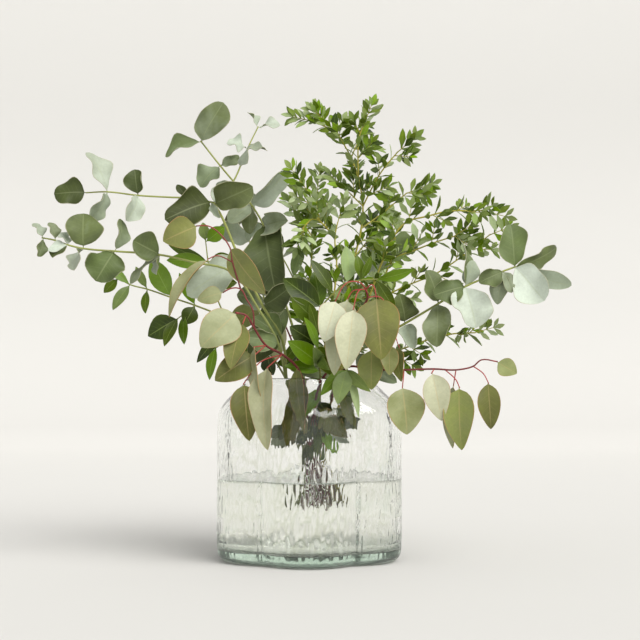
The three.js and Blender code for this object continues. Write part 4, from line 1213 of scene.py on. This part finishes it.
def linear(value):
    """A colour of the settings as a node takes it."""
    return (*Color(value).from_srgb_to_scene_linear(), 1)


class Finish:
    """A material in the making. Each method adds nodes and gives back what they put out."""

    def __init__(self, name):
        self.material = bpy.data.materials.new(name)
        self.material.use_nodes = True
        self.tree = self.material.node_tree
        self.tree.nodes.clear()
        self.output = self.tree.nodes.new("ShaderNodeOutputMaterial")

    def feed(self, made, socket, value):
        """Links a value that comes from another node, and sets any other."""
        if isinstance(value, bpy.types.NodeSocket):
            self.tree.links.new(value, made.inputs[socket])
        else:
            made.inputs[socket].default_value = value

    def node(self, kind, inputs=(), **options):
        made = self.tree.nodes.new("ShaderNode" + kind)
        for key, value in options.items():
            setattr(made, key, value)
        for socket, value in dict(inputs).items():
            self.feed(made, socket, value)
        return made

    def math(self, operation, *values, clamp=False):
        return self.node("Math", enumerate(values), operation=operation, use_clamp=clamp).outputs[0]

    def vary(self, base, by, amount, clamp=False):
        """A value that goes up and down with another that runs from 0 to 1."""
        return self.math("MULTIPLY_ADD", self.math("SUBTRACT", by, 0.5), amount, base, clamp=clamp)

    def mix(self, factor, a, b, blend="MIX"):
        made = self.node("Mix", {"Factor": factor}, data_type="RGBA", blend_type=blend)
        self.feed(made, COLOUR_A, a)
        self.feed(made, COLOUR_B, b)
        return made.outputs[COLOUR_MIXED]

    def ramp(self, factor, stops):
        made = self.node("ValToRGB", {"Fac": factor})
        band = made.color_ramp
        band.elements[0].position, band.elements[0].color = stops[0]
        band.elements[1].position, band.elements[1].color = stops[-1]
        for position, value in stops[1:-1]:
            band.elements.new(position).color = value
        return made.outputs["Color"]

    def between(self, value, low, high, start=0.0, end=1.0):
        """Start to end, as the value goes from low to high."""
        return self.node("MapRange", {"Value": value, "From Min": low, "From Max": high, "To Min": start,
                                      "To Max": end}).outputs["Result"]

    def noise(self, scale, detail=3):
        spot = self.node("TexCoord").outputs["Object"]
        return self.node("TexNoise", {"Vector": spot, "Scale": scale, "Detail": detail}).outputs["Fac"]

    def height(self):
        """Height above the floor in metres."""
        return self.node("SeparateXYZ", {0: self.node("TexCoord").outputs["Object"]}).outputs[2]

    def mark(self, name):
        """The parts of a mark that a mesh carries."""
        vector = self.node("Attribute", attribute_name=name).outputs["Vector"]
        return self.node("SeparateXYZ", {0: vector}).outputs

    def bump(self, height, strength, distance):
        made = self.node("Bump", {"Strength": strength, "Distance": distance, "Height": height})
        return made.outputs["Normal"]

    def absorb(self, colour_taken, density):
        """Depth takes up all but this colour."""
        depth = self.node("VolumeAbsorption", {"Color": colour_taken, "Density": density})
        self.tree.links.new(depth.outputs[0], self.output.inputs["Volume"])

    def surface(self, inputs):
        shader = self.node("BsdfPrincipled", inputs)
        self.tree.links.new(shader.outputs["BSDF"], self.output.inputs["Surface"])
        return self.material


def leaf_finish(name, settings):
    """Leaf: tone along a ramp, mottled wax, a rib, side veins and a thin rim."""
    f = Finish(name)
    tone, chance = f.mark("look")[0:2]
    across, t = f.mark("spot")[0:2]
    u = f.math("ABSOLUTE", across)
    blotch = f.noise(45)
    speck = f.noise(420, 2)
    shade = f.vary(tone, blotch, 0.45)
    shade = f.vary(shade, chance, 0.12)
    shade = f.math("MULTIPLY_ADD", t, -0.06, shade, clamp=True)
    tones = [(0, linear(settings.dark)), (0.45, linear(settings.middle)), (1, linear(settings.pale))]
    base = f.ramp(shade, tones)
    chosen = f.between(chance, 0.72, 0.96, 0, settings.fresh)
    fresh = f.math("MULTIPLY", chosen, f.between(tone, 0.75, 0.95, 1, 0))
    base = f.mix(fresh, base, linear(settings.young))
    hue = f.node("HueSaturation", {"Hue": f.between(chance, 0, 1, 0.488, 0.508),
                                   "Saturation": f.between(blotch, 0.2, 0.8, 1.02, 1.28),
                                   "Value": f.between(speck, 0.3, 0.7, 0.84, 0.93), "Color": base})
    rib = f.between(u, 0.015, 0.06, 1, 0)
    comb = f.math("PINGPONG", f.math("MULTIPLY_ADD", u, -1.5, f.math("MULTIPLY", t, 8)), 0.5)
    side = f.math("MULTIPLY", f.between(comb, 0, 0.05, 0.55, 0), f.between(u, 0.3, 1, 1, 0))
    veins = f.math("MULTIPLY", f.math("MAXIMUM", rib, side), settings.veins)
    painted = f.mix(veins, hue.outputs["Color"], linear(settings.vein))
    rim = f.between(u, 0.94, 1, 0, 0.55)
    painted = f.mix(rim, painted, linear(settings.edge))
    height = f.math("MULTIPLY_ADD", veins, -1.2, f.math("MULTIPLY", speck, 0.35))
    roughness = f.between(blotch, 0.2, 0.8, settings.roughness - 0.06, settings.roughness + 0.06)
    return f.surface({"Base Color": painted, "Normal": f.bump(height, 0.35, 0.0004),
                      "Specular IOR Level": 0.32, "Roughness": roughness})


def bark_finish(name, settings):
    """Stem: from its own colour low down to the stalk's colour at the tips, with fine streaks."""
    f = Finish(name)
    shade = f.vary(f.mark("look")[0], f.noise(120), 0.5, clamp=True)
    base = f.mix(shade, linear(settings.stem), linear(settings.stalk))
    return f.surface({"Base Color": base, "Roughness": 0.5, "Normal": f.bump(f.noise(700, 2), 0.3, 0.0003)})


def glass_finish(settings):
    """Clear glass that takes its green in depth, painted shade in its valleys, green streaks and a frosted
    foot.
    """
    f = Finish("green_tinted_glass")
    up = f.height()
    streaks = f.between(f.noise(38, 4), 0.58, 0.7, 0, 0.16)
    # Painted shade: in the valleys of the relief the glass goes towards the valley colour.
    valley_shade = f.math("MULTIPLY", f.node("Attribute", attribute_name="valley").outputs["Fac"], 0.45)
    foot = f.between(up, 0.004, 0.02, 0.32, 0)
    tone = f.mix(streaks, WHITE, linear(settings.streak))
    tone = f.mix(valley_shade, tone, linear(settings.valley))
    tone = f.mix(foot, tone, linear(settings.foot))
    frost = f.between(up, 0.002, 0.015, 0.35, 0)
    f.absorb(linear(settings.tint), settings.depth)
    return f.surface({"Base Color": tone, "Roughness": frost, "IOR": GLASS_IOR, "Transmission Weight": 1,
                      "Normal": f.bump(f.noise(160, 2), 0.12, 0.0005)})


def water_finish(settings):
    """Clear water that takes a faint colour in depth."""
    f = Finish("still_water")
    f.absorb(linear(settings.water), WATER_DENSITY)
    return f.surface({"Base Color": WHITE, "Roughness": 0, "IOR": WATER_IOR, "Transmission Weight": 1})


def backdrop_finish(settings):
    """Matt paper, a little darker where it bends up and would catch the most light."""
    f = Finish("matt_paper")
    base = linear(settings.backdrop)
    tint = f.mix(f.noise(3), base, (*(level * 0.985 for level in base[:3]), 1))
    bend = [(0, 1), (0.03, 0.91), (0.25, 0.88), (0.5, 0.92), (0.85, 1)]
    shade = f.ramp(f.between(f.height(), 0, 2), [(at, (level, level, level, 1)) for at, level in bend])
    tint = f.mix(1.0, tint, shade, "MULTIPLY")
    return f.surface({"Base Color": tint, "Roughness": 0.9})


# Studio


def make_sweep(settings):
    """Paper that lies flat under the vase, bends up behind it and rises."""
    sweep = bmesh.new()
    bmesh.ops.create_grid(sweep, x_segments=2, y_segments=60, size=1)
    radius = SWEEP_BEND / (math.pi / 2)
    for vert in sweep.verts:
        run = (vert.co.y + 1) / 2 * SWEEP_RUN - SWEEP_FRONT
        bend = min(max(run - SWEEP_FLAT, 0), SWEEP_BEND)
        angle = bend / SWEEP_BEND * math.pi / 2
        beyond = max(run - SWEEP_FLAT - SWEEP_BEND, 0)
        vert.co = (vert.co.x * SWEEP_HALF, min(run, SWEEP_FLAT) + radius * math.sin(angle),
                   radius * (1 - math.cos(angle)) + beyond - SWEEP_DROP)
    for face in sweep.faces:
        face.smooth = True
    floor = object_from("paper_sweep", sweep, [backdrop_finish(settings)])


def make_sun(settings):
    """The soft key light from the upper right."""
    lamp = bpy.data.lights.new("key_lamp", "SUN")
    lamp.energy = settings.key
    lamp.angle = settings.softness
    lamp.color = SUN_COLOUR
    holder = bpy.data.objects.new("key_lamp", lamp)
    holder.rotation_euler = Vector(SUN_FROM).to_track_quat("Z", "Y").to_euler()
    bpy.context.scene.collection.objects.link(holder)


def make_sky(settings):
    """Even light that goes from the horizon's strength to the sky's with height."""
    world = bpy.data.worlds.new("even_sky")
    bpy.context.scene.world = world
    world.use_nodes = True
    tree = world.node_tree
    background = tree.nodes["Background"]
    background.inputs["Color"].default_value = SKY_COLOUR
    up = tree.nodes.new("ShaderNodeSeparateXYZ")
    tree.links.new(tree.nodes.new("ShaderNodeTexCoord").outputs["Generated"], up.inputs[0])
    fade = tree.nodes.new("ShaderNodeMapRange")
    fade.inputs["From Min"].default_value, fade.inputs["From Max"].default_value = SKY_FADE
    fade.inputs["To Min"].default_value = settings.horizon
    fade.inputs["To Max"].default_value = settings.sky
    tree.links.new(up.outputs["Z"], fade.inputs["Value"])
    tree.links.new(fade.outputs["Result"], background.inputs["Strength"])


def make_camera():
    """The camera at the photo's viewing angle, and the light paths that the glass needs."""
    scene = bpy.context.scene
    camera = bpy.data.cameras.new("camera")
    camera.lens = EYE_LENS
    camera.sensor_width = EYE_SENSOR
    holder = bpy.data.objects.new("camera", camera)
    holder.location = (EYE_ACROSS * MM, -EYE_DISTANCE * MM, EYE_UP * MM)
    holder.rotation_euler = (math.radians(90 + EYE_TILT), 0, 0)
    scene.collection.objects.link(holder)
    scene.camera = holder
    scene.view_settings.view_transform = "Standard"
    scene.cycles.max_bounces = 24
    scene.cycles.transmission_bounces = 20
    scene.cycles.glossy_bounces = 6
    scene.cycles.diffuse_bounces = 4
    scene.cycles.transparent_max_bounces = 8


# Operators


def grow_kind(kind):
    """All branches of one kind, with their two finishes."""
    scene = bpy.context.scene
    finish = getattr(scene, "eucalyptus_" + kind)
    materials = [leaf_finish(kind + "_leaf_blade", finish), bark_finish(kind + "_stem_bark", finish)]
    for name, branch in BRANCHES.items():
        if branch["kind"] == kind:
            grow_branch(name, materials, scene.eucalyptus_branches)
    return {"FINISHED"}


class MakeSilverBranches(bpy.types.Operator):
    """Branches with round, waxy, blue-grey leaves in pairs"""

    bl_idname = "eucalyptus.silver_branches"
    bl_label = "Silver-leaved branches"

    def execute(self, context):
        return grow_kind("silver")


class MakeRedBranches(bpy.types.Operator):
    """Branches with drop-shaped olive and cream leaves on red stalks"""

    bl_idname = "eucalyptus.red_branches"
    bl_label = "Red-stalked branches"

    def execute(self, context):
        return grow_kind("red")


class MakeGreenBranches(bpy.types.Operator):
    """Branches with narrow and oval glossy leaves"""

    bl_idname = "eucalyptus.green_branches"
    bl_label = "Green branches"

    def execute(self, context):
        return grow_kind("green")


class MakeSmallBranches(bpy.types.Operator):
    """Branches with many small oval leaves in pairs"""

    bl_idname = "eucalyptus.small_branches"
    bl_label = "Small-leaved branches"

    def execute(self, context):
        return grow_kind("small")


class MakeVase(bpy.types.Operator):
    """The lobed glass vase with its hammered wall"""

    bl_idname = "eucalyptus.vase"
    bl_label = "Glass vase"

    def execute(self, context):
        settings = context.scene.eucalyptus_vase
        make_vase(settings, glass_finish(settings))
        return {"FINISHED"}


class MakeWater(bpy.types.Operator):
    """The water that the stems stand in"""

    bl_idname = "eucalyptus.water"
    bl_label = "Water"

    def execute(self, context):
        settings = context.scene.eucalyptus_vase
        make_water(settings, water_finish(settings))
        return {"FINISHED"}


class MakeStage(bpy.types.Operator):
    """Pale floor and backdrop, soft light and the camera"""

    bl_idname = "eucalyptus.stage"
    bl_label = "Studio"

    def execute(self, context):
        settings = context.scene.eucalyptus_stage
        make_sweep(settings)
        make_sun(settings)
        make_sky(settings)
        make_camera()
        return {"FINISHED"}


class EucalyptusPanel(bpy.types.Panel):
    """The pieces of the bouquet and its studio"""

    bl_idname = "VIEW3D_PT_eucalyptus"
    bl_label = "Eucalyptus"
    bl_space_type = "VIEW_3D"
    bl_region_type = "UI"
    bl_category = "Eucalyptus"

    def draw(self, context):
        for operator in OPERATORS:
            self.layout.operator(operator.bl_idname)


SETTINGS = {
    "eucalyptus_silver": SilverLeafSettings,
    "eucalyptus_red": RedLeafSettings,
    "eucalyptus_green": GreenLeafSettings,
    "eucalyptus_small": SmallLeafSettings,
    "eucalyptus_branches": BranchSettings,
    "eucalyptus_vase": VaseSettings,
    "eucalyptus_stage": StageSettings,
}
OPERATORS = (MakeStage, MakeVase, MakeWater, MakeSilverBranches, MakeRedBranches, MakeGreenBranches,
             MakeSmallBranches)


def register():
    """Registers the settings, the operators and the panel."""
    for group in SETTINGS.values():
        bpy.utils.register_class(group)
    for name, group in SETTINGS.items():
        setattr(bpy.types.Scene, name, PointerProperty(type=group))
    for operator in OPERATORS:
        bpy.utils.register_class(operator)
    bpy.utils.register_class(EucalyptusPanel)


def unregister():
    """Takes back what register did, the other way round."""
    bpy.utils.unregister_class(EucalyptusPanel)
    for operator in reversed(OPERATORS):
        bpy.utils.unregister_class(operator)
    for name, group in reversed(SETTINGS.items()):
        delattr(bpy.types.Scene, name)
        bpy.utils.unregister_class(group)


def main():
    """Makes the studio and every piece."""
    register()
    bpy.ops.eucalyptus.stage()
    bpy.ops.eucalyptus.vase()
    bpy.ops.eucalyptus.water()
    bpy.ops.eucalyptus.silver_branches()
    bpy.ops.eucalyptus.red_branches()
    bpy.ops.eucalyptus.green_branches()
    bpy.ops.eucalyptus.small_branches()


if __name__ == "__main__":
    main()
